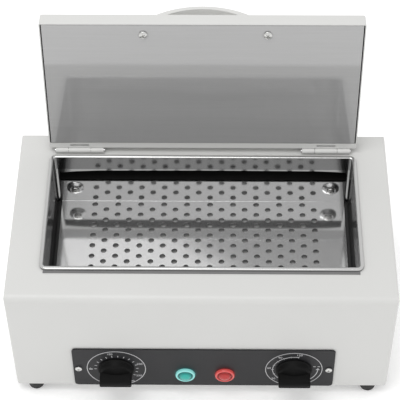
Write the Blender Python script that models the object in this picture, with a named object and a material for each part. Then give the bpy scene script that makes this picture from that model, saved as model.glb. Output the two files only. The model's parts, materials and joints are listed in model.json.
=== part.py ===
"""Bench-top dry-heat sterilizer: a white sheet-steel box with a hinged lid, a stainless chamber
with a perforated tray, and a black control panel with two dials and two lamps.

Metres, +Z up, front towards -Y. The origin is the centre of the whole object's footprint, on the
surface that it stands on, with the lid standing open."""

from math import cos, pi, radians, sin, sqrt

import bmesh
import bpy
from mathutils import Matrix, Vector

MM = 0.001
GAP = 0.3 * MM  # between pieces that touch
SHEET = 1.2 * MM  # casing and base steel

# Casing, on four feet
CASE_WIDTH = 370 * MM
CASE_DEPTH = 210 * MM
CASE_HEIGHT = 141 * MM
FOOT_HEIGHT = 12 * MM
FRONT_BEND = 7 * MM
EDGE_BEND = 3 * MM

# Chamber: the mouth's inner edges, and how deep the tray lies below its rim
MOUTH_WIDTH = 300 * MM
MOUTH_FRONT = -67 * MM
MOUTH_BACK = 71 * MM
TRAY_DEPTH = 66 * MM
RIM_WIDTH = 4 * MM
RIM_HEIGHT = 3 * MM
TANK_WALL = 1 * MM

# Lid
LID_WIDTH = 309 * MM
LID_THICKNESS = 16.5 * MM
LID_SHEET = 1 * MM
LID_OPEN = radians(97.5)
KNUCKLE_RADIUS = 2.8 * MM

# Control panel
PANEL_WIDTH = 257 * MM
PANEL_HEIGHT = 61 * MM
PANEL_THICKNESS = 1.5 * MM
PANEL_X = 2 * MM
DIALS_X = 3.5 * MM
DIAL_OFFSET = 87.5 * MM
LAMP_OFFSET = 19.5 * MM

# Levels and faces that follow from them; Y is from the casing's centre
CASE_TOP = FOOT_HEIGHT + CASE_HEIGHT
FRONT = -CASE_DEPTH / 2
REAR = CASE_DEPTH / 2
RIM_TOP = CASE_TOP + RIM_HEIGHT
TRAY_TOP = RIM_TOP - TRAY_DEPTH
TRAY_SHEET = 1 * MM
TANK_FLOOR = TRAY_TOP - 5 * MM
PANEL_LOW = FOOT_HEIGHT + 1.3 * MM
PANEL_FACE = FRONT - GAP - PANEL_THICKNESS
DIAL_Z = PANEL_LOW + 29 * MM
LAMP_Z = PANEL_LOW + 20.5 * MM
HINGE_Y = MOUTH_BACK + RIM_WIDTH + 5.5 * MM
HINGE_Z = CASE_TOP + KNUCKLE_RADIUS + 0.5 * MM

# Lid in its own closed frame, measured from the hinge axis: Y back, Z up
LID_BACK = -KNUCKLE_RADIUS - GAP
LID_FRONT = MOUTH_FRONT - RIM_WIDTH - 3.5 * MM - HINGE_Y
LID_LOW = RIM_TOP + 0.5 * MM - HINGE_Z
LID_HIGH = LID_LOW + LID_THICKNESS
REAR_FLANGE = 6 * MM  # the lid shell's folded-in rear lip

# Bow handle on the lid
HANDLE_RADIUS = 77 * MM
HANDLE_RISE = 21.5 * MM
HANDLE_BORE_RADIUS = 65 * MM
HANDLE_BORE_RISE = 17 * MM
HANDLE_WIDTH = 12 * MM
HANDLE_HALF_LENGTH = 67 * MM
HANDLE_FOOT = 4.5 * MM
HANDLE_SCREWS = (("left", -56 * MM), ("right", 62 * MM))
HANDLE_Y = LID_FRONT + 12 * MM

KNOB_REACH = 20.5 * MM

# The footprint runs from the knobs to the handle behind the open lid, and its middle is Y = 0
HANDLE_BACK = (
    HINGE_Y
    + (HANDLE_Y - HANDLE_WIDTH / 2) * cos(LID_OPEN)
    + (LID_HIGH + GAP + HANDLE_RISE) * sin(LID_OPEN)
)
CASE_CENTRE_Y = -(PANEL_FACE - KNOB_REACH + HANDLE_BACK) / 2


# Materials: base colour, roughness, metallic
MATERIALS = {
    "white_paint": ((0.72, 0.72, 0.70), 0.42, 0.0),
    "polished_steel": ((0.62, 0.62, 0.62), 0.12, 1.0),
    "satin_steel": ((0.55, 0.55, 0.55), 0.32, 1.0),
    "zinc_steel": ((0.60, 0.60, 0.58), 0.35, 1.0),
    "black_panel": ((0.035, 0.036, 0.040), 0.45, 0.0),
    "black_plastic": ((0.012, 0.012, 0.012), 0.35, 0.0),
    "black_rubber": ((0.02, 0.02, 0.02), 0.8, 0.0),
    "white_plastic": ((0.74, 0.74, 0.71), 0.38, 0.0),
    "green_lens": ((0.02, 0.45, 0.36), 0.15, 0.0),
    "red_lens": ((0.60, 0.02, 0.02), 0.15, 0.0),
    "blackened_steel": ((0.01, 0.01, 0.01), 0.6, 0.5),
    "fibre_board": ((0.70, 0.66, 0.55), 0.95, 0.0),
    "mica": ((0.45, 0.38, 0.28), 0.7, 0.0),
    "copper": ((0.72, 0.36, 0.20), 0.3, 1.0),
    "cream_plastic": ((0.62, 0.58, 0.48), 0.5, 0.0),
}


def clear_scene():
    for old in list(bpy.data.objects):
        bpy.data.objects.remove(old)


def material(name):
    found = bpy.data.materials.get(name)
    if found:
        return found
    colour, roughness, metallic = MATERIALS[name]
    made = bpy.data.materials.new(name)
    made.use_nodes = True
    shader = made.node_tree.nodes["Principled BSDF"]
    shader.inputs["Base Color"].default_value = (*colour, 1)
    shader.inputs["Roughness"].default_value = roughness
    shader.inputs["Metallic"].default_value = metallic
    return made


# ---- Shapes, each a bmesh ----


def prism(outline, low, high, axis="Z"):
    """An outline pushed along an axis. It holds (x, y) points for Z, (x, z) for Y and (y, z) for X."""
    place = {
        "X": lambda u, v, w: (w, u, v),
        "Y": lambda u, v, w: (u, w, v),
        "Z": lambda u, v, w: (u, v, w),
    }[axis]
    shape = bmesh.new()
    ends = [[shape.verts.new(place(u, v, w)) for u, v in outline] for w in (low, high)]
    count = len(outline)
    for i in range(count):
        j = (i + 1) % count
        shape.faces.new((ends[0][i], ends[0][j], ends[1][j], ends[1][i]))
    for end in ends:
        shape.faces.new(end)
    bmesh.ops.recalc_face_normals(shape, faces=shape.faces)
    return shape


def rectangle(x0, x1, y0, y1):
    return [(x0, y0), (x1, y0), (x1, y1), (x0, y1)]


def box(x, y, z):
    """A box between three pairs of limits."""
    return prism(rectangle(*x, *y), *z)


def hexagon(x, y, radius):
    return [(x + radius * cos(i * pi / 3), y + radius * sin(i * pi / 3)) for i in range(6)]


def corner_arc(cx, cy, radius, start, steps):
    """Points of a quarter circle from the angle start, in quarter turns."""
    angles = [(start + i / steps) * pi / 2 for i in range(steps + 1)]
    return [(cx + radius * cos(a), cy + radius * sin(a)) for a in angles]


def rounded(x0, x1, y0, y1, radii, steps=3):
    """A rectangle with rounded corners. radii run from the high x, high y corner, anticlockwise."""
    if not hasattr(radii, "__len__"):
        radii = (radii,) * 4
    corners = ((x1, y1, -1, -1), (x0, y1, 1, -1), (x0, y0, 1, 1), (x1, y0, -1, 1))
    points = []
    for turn, ((x, y, inx, iny), radius) in enumerate(zip(corners, radii)):
        if radius:
            points += corner_arc(x + inx * radius, y + iny * radius, radius, turn, steps)
        else:
            points.append((x, y))
    return points


def turned(profile, centre, axis="Z", segments=24):
    """A profile of (radius, height) points turned round an axis through centre. A profile whose
    ends lie on the axis makes a solid, and any other is taken as a closed loop."""
    shape = bmesh.new()
    rings = []
    for radius, height in profile:
        count = segments if radius > 0 else 1
        angles = [2 * pi * i / count for i in range(count)]
        ring = [shape.verts.new((radius * cos(a), radius * sin(a), height)) for a in angles]
        rings.append(ring)
    closed = profile[0][0] > 0
    pairs = list(zip(rings, rings[1:])) + ([(rings[-1], rings[0])] if closed else [])
    for low, high in pairs:
        for i in range(segments):
            j = (i + 1) % segments
            if len(low) == 1 and len(high) == 1:
                continue
            if len(low) == 1:
                shape.faces.new((low[0], high[j], high[i]))
            elif len(high) == 1:
                shape.faces.new((low[i], low[j], high[0]))
            else:
                shape.faces.new((low[i], low[j], high[j], high[i]))
    bmesh.ops.recalc_face_normals(shape, faces=shape.faces)
    towards = {"X": Vector((1, 0, 0)), "Y": Vector((0, 1, 0)), "Z": Vector((0, 0, 1))}[axis]
    turn = towards.to_track_quat("Z", "Y").to_matrix().to_4x4()
    bmesh.ops.transform(shape, matrix=Matrix.Translation(centre) @ turn, verts=shape.verts)
    return shape


def rod(centre, radius, low, high, axis="Z", segments=16):
    """A plain cylinder between two heights along its axis."""
    return turned([(0, low), (radius, low), (radius, high), (0, high)], centre, axis, segments)


def several(shapes):
    """Separate shapes held in one mesh, for use as one cutter."""
    whole = bmesh.new()
    for shape in shapes:
        piece = bpy.data.meshes.new("piece")
        shape.to_mesh(piece)
        shape.free()
        whole.from_mesh(piece)
        bpy.data.meshes.remove(piece)
    return whole


# ---- Objects ----


def place(name, shape, frame):
    mesh = bpy.data.meshes.new(name)
    shape.to_mesh(mesh)
    shape.free()
    made = bpy.data.objects.new(name, mesh)
    bpy.context.scene.collection.objects.link(made)
    made.parent = frame
    return made


def solid(name, shape, finish, frame):
    made = place(name, shape, frame)
    made.data.materials.append(material(finish))
    made.data.shade_smooth()
    made.data.set_sharp_from_angle(angle=radians(35))
    return made


def combine(part, shape, operation):
    """Adds a Boolean to part. shape is a bmesh in part's frame, or a hidden helper object."""
    if isinstance(shape, bmesh.types.BMesh):
        shape = place(f"{part.name}_{operation.lower()}", shape, part.parent)
    shape.hide_render = True
    shape.display_type = "WIRE"
    modifier = part.modifiers.new(operation.title(), "BOOLEAN")
    modifier.operation = operation
    modifier.object = shape
    modifier.solver = "EXACT"
    return part


def cut(part, *shapes):
    for shape in shapes:
        combine(part, shape, "DIFFERENCE")
    return part


def fuse(part, *shapes):
    for shape in shapes:
        combine(part, shape, "UNION")
    return part


def screw(name, head, reach, centre, axis, frame, shank=1.6 * MM, height=2 * MM):
    """A pan-head screw with a cross recess. Its head's underside is at centre, and its shank runs
    reach along axis, which is a letter, with - for the other way."""
    sign = -1 if axis.startswith("-") else 1
    letter = axis[-1]
    profile = [
        (0, sign * reach),
        (shank, sign * reach),
        (shank, 0),
        (head, 0),
        (head, -sign * height * 0.45),
        (head * 0.72, -sign * height * 0.9),
        (0, -sign * height),
    ]
    made = solid(name, turned(profile, centre, letter, 12), "zinc_steel", frame)
    arm = head * 0.5
    thin = head * 0.12
    deep = sorted((-sign * height * 0.35, -sign * height * 1.5))
    for u, v in ((arm, thin), (thin, arm)):
        slot = prism(rectangle(-u, u, -v, v), *deep, letter)
        bmesh.ops.translate(slot, vec=centre, verts=slot.verts)
        cut(made, slot)
    return made


def catmull_rom(points, spacing):
    """A smooth line through points, read about every spacing."""
    line = [Vector(p) for p in points]
    line = [2 * line[0] - line[1], *line, 2 * line[-1] - line[-2]]
    read = []
    for p0, p1, p2, p3 in zip(line, line[1:], line[2:], line[3:]):
        count = max(2, round((p2 - p1).length / spacing))
        for i in range(count):
            t = i / count
            read.append(
                0.5
                * (
                    2 * p1
                    + (p2 - p0) * t
                    + (2 * p0 - 5 * p1 + 4 * p2 - p3) * t * t
                    + (3 * p1 - p0 - 3 * p2 + p3) * t**3
                )
            )
    return [*read, line[-2]]


def tube(name, points, radius, finish, frame, spacing=6 * MM, sides=2):
    """A round wire or pipe along a smooth line."""
    curve = bpy.data.curves.new(name, "CURVE")
    curve.dimensions = "3D"
    curve.bevel_depth = radius
    curve.bevel_resolution = sides
    curve.use_fill_caps = True
    read = catmull_rom(points, spacing)
    spline = curve.splines.new("POLY")
    spline.points.add(len(read) - 1)
    for point, where in zip(spline.points, read):
        point.co = (*where, 1)
    curve.materials.append(material(finish))
    made = bpy.data.objects.new(name, curve)
    bpy.context.scene.collection.objects.link(made)
    made.parent = frame
    return made


def frame_at(name, location, parent=None):
    made = bpy.data.objects.new(name, None)
    made.location = location
    made.parent = parent
    bpy.context.scene.collection.objects.link(made)
    return made


SIDES = (("left", -1), ("right", 1))


# ---- Casing, base and feet ----


def rounded_box(inset, low, high, frame, name):
    """The casing's outer form, shrunk by inset: rounded corners, a wide bend along the front."""
    half, front, rear = CASE_WIDTH / 2 - inset, FRONT + inset, REAR - inset
    edge, bend = EDGE_BEND - inset, FRONT_BEND - inset
    beyond = 20 * MM
    plan = rounded(-half, half, front, rear, edge)
    side = rounded(front, rear, low, high, (edge, bend, 0, 0), 4)
    face = rounded(-half, half, low, high, (edge, edge, 0, 0))
    made = place(name, prism(plan, low - beyond, high + beyond), frame)
    combine(made, prism(side, -half - beyond, half + beyond, "X"), "INTERSECT")
    combine(made, prism(face, front - beyond, rear + beyond, "Y"), "INTERSECT")
    return made


def tank_outline(grow, radius=3 * MM):
    half = MOUTH_WIDTH / 2 + grow
    return rounded(-half, half, MOUTH_FRONT - grow, MOUTH_BACK + grow, radius + grow)


def foot_places():
    for end, y in (("front", FRONT + 9 * MM), ("rear", REAR - 16 * MM)):
        for side, way in SIDES:
            yield f"{end}_{side}", way * (CASE_WIDTH / 2 - 18 * MM), y


BASE_SCREW_Z = FOOT_HEIGHT + 7 * MM
BASE_SCREW_YS = (("front", -60 * MM), ("rear", 60 * MM))
INLET_X = 118 * MM
INLET_Z = 48 * MM
INLET_SCREW = 20 * MM


def make_casing(frame):
    casing = rounded_box(0, FOOT_HEIGHT, CASE_TOP, frame, "casing_shell")
    casing.data.materials.append(material("white_paint"))
    hollow = rounded_box(SHEET, FOOT_HEIGHT - 5 * MM, CASE_TOP - SHEET, frame, "casing_hollow")
    cut(casing, hollow)
    cut(casing, prism(tank_outline(TANK_WALL + 0.6 * MM), CASE_TOP - 5 * MM, CASE_TOP + 5 * MM))
    front = (FRONT - 5 * MM, FRONT + 5 * MM)
    rear = (REAR - 5 * MM, REAR + 5 * MM)
    holes = [
        rod((x, 0, z), radius, *front, "Y", 12)
        for x, z, radius in panel_holes(grow=0.2 * MM)
    ]
    holes.append(prism(rounded(INLET_X - 14.3 * MM, INLET_X + 14.3 * MM,
                               INLET_Z - 10.5 * MM, INLET_Z + 10.5 * MM, 2 * MM, 2), *rear, "Y"))
    holes += [
        rod((INLET_X + way * INLET_SCREW, 0, INLET_Z), 1.9 * MM, *rear, "Y", 10)
        for _, way in SIDES
    ]
    holes += [
        prism(rounded(x - 1.8 * MM, x + 1.8 * MM, 36 * MM, 70 * MM, 1.8 * MM, 3), *rear, "Y")
        for x in vent_columns()
    ]
    side_wall = (-CASE_WIDTH / 2 - 5 * MM, CASE_WIDTH / 2 + 5 * MM)
    holes += [rod((0, y, BASE_SCREW_Z), 1.9 * MM, *side_wall, "X", 10) for _, y in BASE_SCREW_YS]
    cut(casing, several(holes))
    return casing


def vent_columns():
    return [(-130 + 9 * i) * MM for i in range(9)]


def make_base(frame):
    """The bottom plate, turned up at the sides and the rear."""
    half, front, rear = CASE_WIDTH / 2 - SHEET - GAP, FRONT + SHEET + GAP, REAR - SHEET - GAP
    low, high = FOOT_HEIGHT, FOOT_HEIGHT + 11 * MM
    plate = solid("base_plate", prism(rounded(-half, half, front, rear, 1.5 * MM, 2), low, high),
                  "zinc_steel", frame)
    cut(plate, box((-half + SHEET, half - SHEET), (front - 5 * MM, rear - SHEET),
                   (low + SHEET, high + 5 * MM)))
    through = (low - 5 * MM, low + 5 * MM)
    holes = [rod((x, y, 0), 2.2 * MM, *through, "Z", 10) for _, x, y in foot_places()]
    for y in (-30 * MM, 30 * MM):
        holes += [
            prism(rounded(x - 2 * MM, x + 2 * MM, y - 18 * MM, y + 18 * MM, 2 * MM, 2), *through)
            for x in [(-60 + 15 * i) * MM for i in range(9)]
        ]
    flange = (-CASE_WIDTH / 2, CASE_WIDTH / 2)
    holes += [rod((0, y, BASE_SCREW_Z), 1.9 * MM, *flange, "X", 10) for _, y in BASE_SCREW_YS]
    cut(plate, several(holes))
    for end, y in BASE_SCREW_YS:
        for side, way in SIDES:
            at = (way * (CASE_WIDTH / 2 + GAP), y, BASE_SCREW_Z)
            screw(f"base_screw_{end}_{side}", 3 * MM, 8 * MM, at, "-X" if way > 0 else "X", frame)


def make_feet(frame):
    top = FOOT_HEIGHT - GAP
    recess = 4 * MM
    profile = [
        (2.2 * MM, top), (9 * MM, top), (8.9 * MM, top - 3 * MM), (7.9 * MM, 1.5 * MM),
        (7.2 * MM, 0), (4 * MM, 0), (4 * MM, recess), (2.2 * MM, recess),
    ]
    for where, x, y in foot_places():
        solid(f"foot_{where}", turned(profile, (x, y, 0), "Z", 20), "black_rubber", frame)
        screw(f"foot_screw_{where}", 3.2 * MM, 13 * MM, (x, y, recess - GAP), "Z", frame)


# ---- Control panel ----


def panel_holes(grow=0.0):
    """(x, z, radius) of each hole through the panel and the casing behind it."""
    for way in (-1, 1):
        yield DIALS_X + way * DIAL_OFFSET, DIAL_Z, 5.4 * MM + grow
        yield DIALS_X + way * LAMP_OFFSET, LAMP_Z, 6.3 * MM + grow
        yield PANEL_X + way * PANEL_SCREW_X, DIAL_Z, 1.9 * MM + grow


PANEL_SCREW_X = PANEL_WIDTH / 2 - 5.3 * MM
INSIDE = FRONT + SHEET  # the casing's inner face behind the panel


def make_panel(frame):
    plan = rounded(PANEL_X - PANEL_WIDTH / 2, PANEL_X + PANEL_WIDTH / 2,
                   PANEL_LOW, PANEL_LOW + PANEL_HEIGHT, 4 * MM, 4)
    panel = solid("control_panel", prism(plan, PANEL_FACE, FRONT - GAP, "Y"), "black_panel", frame)
    around = (PANEL_FACE - 5 * MM, FRONT + 5 * MM)
    cut(panel, several([rod((x, 0, z), r, *around, "Y", 16) for x, z, r in panel_holes()]))
    for side, way in SIDES:
        at = (PANEL_X + way * PANEL_SCREW_X, PANEL_FACE - GAP, DIAL_Z)
        screw(f"panel_screw_{side}", 3.4 * MM, 8 * MM, at, "Y", frame)


def make_knob(name, x, frame):
    """A skirted knob with a bar grip, blind-bored for its spindle and hollow over the nut."""
    at = (x, PANEL_FACE, DIAL_Z)
    back, face, tip = 0.6 * MM, 7.5 * MM, KNOB_REACH
    profile = [
        (0, -back), (18 * MM, -back), (17.6 * MM, -2.2 * MM), (15.8 * MM, -face + 1 * MM),
        (14.8 * MM, -face), (5 * MM, -16 * MM), (0, -16 * MM),
    ]
    knob = solid(name, turned(profile, at, "Y", 32), "black_plastic", frame)
    wide, root, edge = 15.7 * MM, 4 * MM, 2.8 * MM
    front, start = PANEL_FACE - tip, PANEL_FACE - face + 0.5 * MM
    side = [(start, -root), (front + 1 * MM, -edge), (front, -edge + 1 * MM),
            (front, edge - 1 * MM), (front + 1 * MM, edge), (start, root)]
    bar = prism([(y, DIAL_Z + z) for y, z in side], x - wide, x + wide, "X")
    ends = rounded(x - wide, x + wide, front, start, (0, 0, 2.5 * MM, 2.5 * MM), 3)
    bar = combine(place(f"{name}_bar", bar, frame),
                  prism(ends, DIAL_Z - 2 * root, DIAL_Z + 2 * root), "INTERSECT")
    bore = [(0, -14 * MM), (3.3 * MM, -14 * MM), (3.3 * MM, -5 * MM), (9.5 * MM, -5 * MM),
            (9.5 * MM, 2 * MM), (0, 2 * MM)]
    return cut(fuse(knob, bar), turned(bore, at, "Y", 16))


def make_control(kind, way, size, depth, frame):
    """A knob, its spindle, the nut under the knob, and the switch body behind the panel."""
    x = DIALS_X + way * DIAL_OFFSET
    at = (x, 0, DIAL_Z)
    make_knob(f"{kind}_knob", x, frame)
    body_front = INSIDE + GAP
    solid(f"{kind}_spindle", rod(at, 3 * MM, PANEL_FACE - 13.6 * MM, body_front + 6 * MM, "Y", 16),
          "satin_steel", frame)
    neck = [(3.3 * MM, PANEL_FACE - 4 * MM), (5 * MM, PANEL_FACE - 4 * MM),
            (5 * MM, body_front + 2 * MM), (3.3 * MM, body_front + 2 * MM)]
    width, height = size
    body = box((x - width / 2, x + width / 2), (body_front, body_front + depth),
               (DIAL_Z - height / 2, DIAL_Z + height / 2))
    bmesh.ops.bevel(body, geom=body.edges[:], offset=1.5 * MM, segments=1, affect="EDGES")
    made = solid(f"{kind}_body", body, "cream_plastic", frame)
    cut(made, rod(at, 3.3 * MM, body_front - 5 * MM, body_front + 6.3 * MM, "Y", 16))
    fuse(made, turned(neck, at, "Y", 16))
    blades = [
        box((x + offset - 3 * MM, x + offset + 3 * MM),
            (body_front + depth - 1 * MM, body_front + depth + 7 * MM),
            (DIAL_Z - 0.4 * MM, DIAL_Z + 0.4 * MM))
        for offset in (-8 * MM, 8 * MM)
    ]
    fuse(made, several(blades))
    nut = prism(hexagon(x, DIAL_Z, 8 * MM), PANEL_FACE - 3.5 * MM, PANEL_FACE - GAP, "Y")
    cut(solid(f"{kind}_nut", nut, "zinc_steel", frame),
        rod(at, 5.3 * MM, PANEL_FACE - 9 * MM, PANEL_FACE + 5 * MM, "Y", 16))


def make_lamp(colour, way, frame):
    """A lens with a flange and a stem through the panel, and the lamp holder behind it."""
    at = (DIALS_X + way * LAMP_OFFSET, 0, LAMP_Z)
    face = PANEL_FACE - GAP
    lens = [
        (0, INSIDE + 8 * MM), (6 * MM, INSIDE + 8 * MM), (6 * MM, face), (9.7 * MM, face),
        (9.7 * MM, face - 1.6 * MM), (8.7 * MM, face - 3.4 * MM), (7.2 * MM, face - 3.6 * MM),
        (6.4 * MM, face - 2.4 * MM), (5 * MM, face - 4 * MM), (2.8 * MM, face - 5 * MM),
        (0, face - 5.4 * MM),
    ]
    solid(f"{colour}_lamp_lens", turned(lens, at, "Y", 24), f"{colour}_lens", frame)
    near, floor, far = INSIDE + GAP, INSIDE + 8.4 * MM, INSIDE + 20 * MM
    holder = [(0, floor), (6.3 * MM, floor), (6.3 * MM, near), (8 * MM, near), (8 * MM, far),
              (0, far)]
    made = solid(f"{colour}_lamp_holder", turned(holder, at, "Y", 16), "cream_plastic", frame)
    fuse(made, several([
        box((at[0] + x - 0.4 * MM, at[0] + x + 0.4 * MM), (far - 1 * MM, far + 6 * MM),
            (LAMP_Z - 2.4 * MM, LAMP_Z + 2.4 * MM))
        for x in (-4 * MM, 4 * MM)
    ]))


# ---- Chamber ----


SLOT_LOW = TRAY_TOP + 31 * MM
SLOT_HIGH = TRAY_TOP + 46.5 * MM
SLOT_HALF = 146 * MM
TRAY_SCREW_X = 131 * MM
TRAY_SCREW_Z = TRAY_TOP + 21 * MM


def slot_outline():
    """The hot-air slot across the back wall; its upper edge falls towards both ends."""
    return [(-SLOT_HALF, SLOT_LOW), (SLOT_HALF, SLOT_LOW), (SLOT_HALF, SLOT_HIGH - 3 * MM),
            (SLOT_HALF - 30 * MM, SLOT_HIGH - 0.5 * MM), (0, SLOT_HIGH),
            (-SLOT_HALF + 40 * MM, SLOT_HIGH - 0.5 * MM), (-SLOT_HALF, SLOT_HIGH - 4 * MM)]


def make_tank(frame):
    floor = TANK_FLOOR
    tank = solid("chamber_tank", prism(tank_outline(TANK_WALL), floor - TANK_WALL, RIM_TOP),
                 "polished_steel", frame)
    rim = prism(tank_outline(RIM_WIDTH, 2 * MM), CASE_TOP + GAP, RIM_TOP)
    fuse(tank, rim)
    cut(tank, prism(tank_outline(0), floor, RIM_TOP + 5 * MM))
    wall = (MOUTH_BACK - 5 * MM, MOUTH_BACK + 5 * MM)
    holes = [rod((way * TRAY_SCREW_X, 0, TRAY_SCREW_Z), 2.2 * MM, *wall, "Y", 12)
             for _, way in SIDES]
    cut(tank, several([prism(slot_outline(), *wall, "Y"), *holes]))
    studs = [rod((x, STUD_Y, 0), 1.9 * MM, floor - 14 * MM, floor - TANK_WALL / 2, "Z", 12)
             for _, x in stud_places()]
    fuse(tank, several(studs))


def make_air_channel(frame):
    """The blackened channel behind the slot, closed at the back and the ends."""
    near = MOUTH_BACK + TANK_WALL + GAP
    half, low, high = SLOT_HALF + 2 * MM, SLOT_LOW - 2 * MM, SLOT_HIGH + 2 * MM
    channel = solid("air_channel", box((-half, half), (near, near + 14 * MM), (low, high)),
                    "blackened_steel", frame)
    wall = 1 * MM
    cut(channel, box((-half + wall, half - wall), (near - 5 * MM, near + 13 * MM),
                     (low + wall, high - wall)))


TRAY_HALF = 146 * MM
HOLE_RADIUS = 3 * MM
HOLE_ROWS, ROW_STEP = 19, 6.8 * MM
HOLE_COLUMNS, COLUMN_STEP = 20, 11.9 * MM
HOLES_X = 1.5 * MM  # the pattern's middle
FIRST_ROW = MOUTH_BACK - 6.2 * MM


def tray_holes():
    """Centres of the staggered round holes in the tray's floor."""
    first = HOLES_X - (HOLE_COLUMNS - 1) / 2 * COLUMN_STEP
    for row in range(HOLE_ROWS):
        for column in range(row % 2, HOLE_COLUMNS, 2):
            yield first + column * COLUMN_STEP, FIRST_ROW - row * ROW_STEP


def make_tray(frame):
    """The perforated floor: flanges down at the front and sides, and a screwed flange up the back."""
    back, front = MOUTH_BACK - GAP, MOUTH_FRONT + 1.5 * MM
    low = TANK_FLOOR + GAP
    tray = solid("perforated_tray", box((-TRAY_HALF, TRAY_HALF), (front, back), (low, TRAY_TOP)),
                 "polished_steel", frame)
    cut(tray, box((-TRAY_HALF + TRAY_SHEET, TRAY_HALF - TRAY_SHEET),
                  (front + TRAY_SHEET, back + 5 * MM), (low - 5 * MM, TRAY_TOP - TRAY_SHEET)))
    cut(tray, several([
        turned([(0, TRAY_TOP - 4 * MM), (HOLE_RADIUS, TRAY_TOP - 4 * MM),
                (HOLE_RADIUS, TRAY_TOP + 4 * MM), (0, TRAY_TOP + 4 * MM)], (x, y, 0), "Z", 6)
        for x, y in tray_holes()
    ]))
    fuse(tray, box((-TRAY_HALF, TRAY_HALF), (back - TRAY_SHEET, back),
                   (TRAY_TOP - TRAY_SHEET, SLOT_LOW - GAP)))
    cut(tray, several([rod((way * TRAY_SCREW_X, 0, TRAY_SCREW_Z), 2.2 * MM,
                           back - 5 * MM, back + 5 * MM, "Y", 12) for _, way in SIDES]))
    face = back - TRAY_SHEET - GAP
    washer = [(2.2 * MM, 0), (8.6 * MM, 0), (8.6 * MM, -0.8 * MM), (6.6 * MM, -2.6 * MM),
              (4.2 * MM, -3 * MM), (2.2 * MM, -3 * MM)]
    for side, way in SIDES:
        x = way * TRAY_SCREW_X
        solid(f"tray_washer_{side}", turned(washer, (x, face, TRAY_SCREW_Z), "Y", 24),
              "satin_steel", frame)
        screw(f"tray_screw_{side}", 4 * MM, 11 * MM, (x, face - 3 * MM - GAP, TRAY_SCREW_Z),
              "Y", frame, shank=1.9 * MM, height=2.4 * MM)


# ---- Heater, sensor and insulation ----


STUD_Y = 2.5 * MM


def stud_places():
    return [(side, way * 95 * MM) for side, way in SIDES]


def make_heater(frame):
    """A mica heating plate under the chamber, pressed up by a steel clamp plate on two studs."""
    under = TANK_FLOOR - TANK_WALL
    plate_low, plate_high = under - 3.3 * MM, under - GAP
    clamp_low, clamp_high = plate_low - GAP - 1.5 * MM, plate_low - GAP
    plate = rounded(-125 * MM, 125 * MM, -55 * MM, 60 * MM, 4 * MM, 2)
    plate = solid("heater_plate", prism(plate, plate_low, plate_high), "mica", frame)
    clamp = rounded(-110 * MM, 110 * MM, -50 * MM, 55 * MM, 4 * MM, 2)
    clamp = solid("heater_clamp", prism(clamp, clamp_low, clamp_high), "zinc_steel", frame)
    for part in (plate, clamp):
        cut(part, several([rod((x, STUD_Y, 0), 2.2 * MM, clamp_low - 5 * MM, plate_high + 5 * MM,
                               "Z", 12) for _, x in stud_places()]))
    cut(clamp, prism(rounded(-70 * MM, 70 * MM, -22 * MM, 27 * MM, 6 * MM, 2),
                     clamp_low - 5 * MM, clamp_high + 5 * MM))
    nut_high = clamp_low - GAP
    for side, x in stud_places():
        nut = hexagon(x, STUD_Y, 4 * MM)
        nut = solid(f"heater_nut_{side}", prism(nut, nut_high - 3 * MM, nut_high), "zinc_steel", frame)
        cut(nut, rod((x, STUD_Y, 0), 2.2 * MM, nut_high - 9 * MM, nut_high + 5 * MM, "Z", 12))


def make_sensor(frame):
    """The thermostat's bulb under the chamber, and its capillary from the thermostat."""
    y = -62 * MM
    z = TANK_FLOOR - TANK_WALL - GAP - 3 * MM
    bulb = [(0, -40 * MM), (2 * MM, -40 * MM), (3 * MM, -38 * MM), (3 * MM, 38 * MM),
            (2 * MM, 40 * MM), (0, 40 * MM)]
    solid("thermostat_bulb", turned(bulb, (0, y, z), "X", 12), "copper", frame)
    x = DIALS_X - DIAL_OFFSET
    start = (x + 19.6 * MM, INSIDE + 14 * MM, DIAL_Z + 6 * MM)
    route = [start, (x + 27 * MM, INSIDE + 14 * MM, DIAL_Z + 8 * MM),
             (x + 36 * MM, INSIDE + 22 * MM, DIAL_Z + 20 * MM), (-46 * MM, y, z),
             (-40.4 * MM, y, z)]
    tube("thermostat_capillary", route, 0.9 * MM, "copper", frame)


def make_insulation(frame):
    """One board wrapped round the chamber's front and sides."""
    outer = MOUTH_WIDTH / 2 + TANK_WALL + 1 * MM
    front = MOUTH_FRONT - TANK_WALL - 1 * MM
    thick = 12 * MM
    wrap = [(-outer - thick, MOUTH_BACK), (-outer - thick, front - thick),
            (outer + thick, front - thick), (outer + thick, MOUTH_BACK), (outer, MOUTH_BACK),
            (outer, front), (-outer, front), (-outer, MOUTH_BACK)]
    solid("chamber_insulation", prism(wrap, TANK_FLOOR + 1 * MM, CASE_TOP - 4 * MM),
          "fibre_board", frame)


# ---- Mains inlet ----


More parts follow.
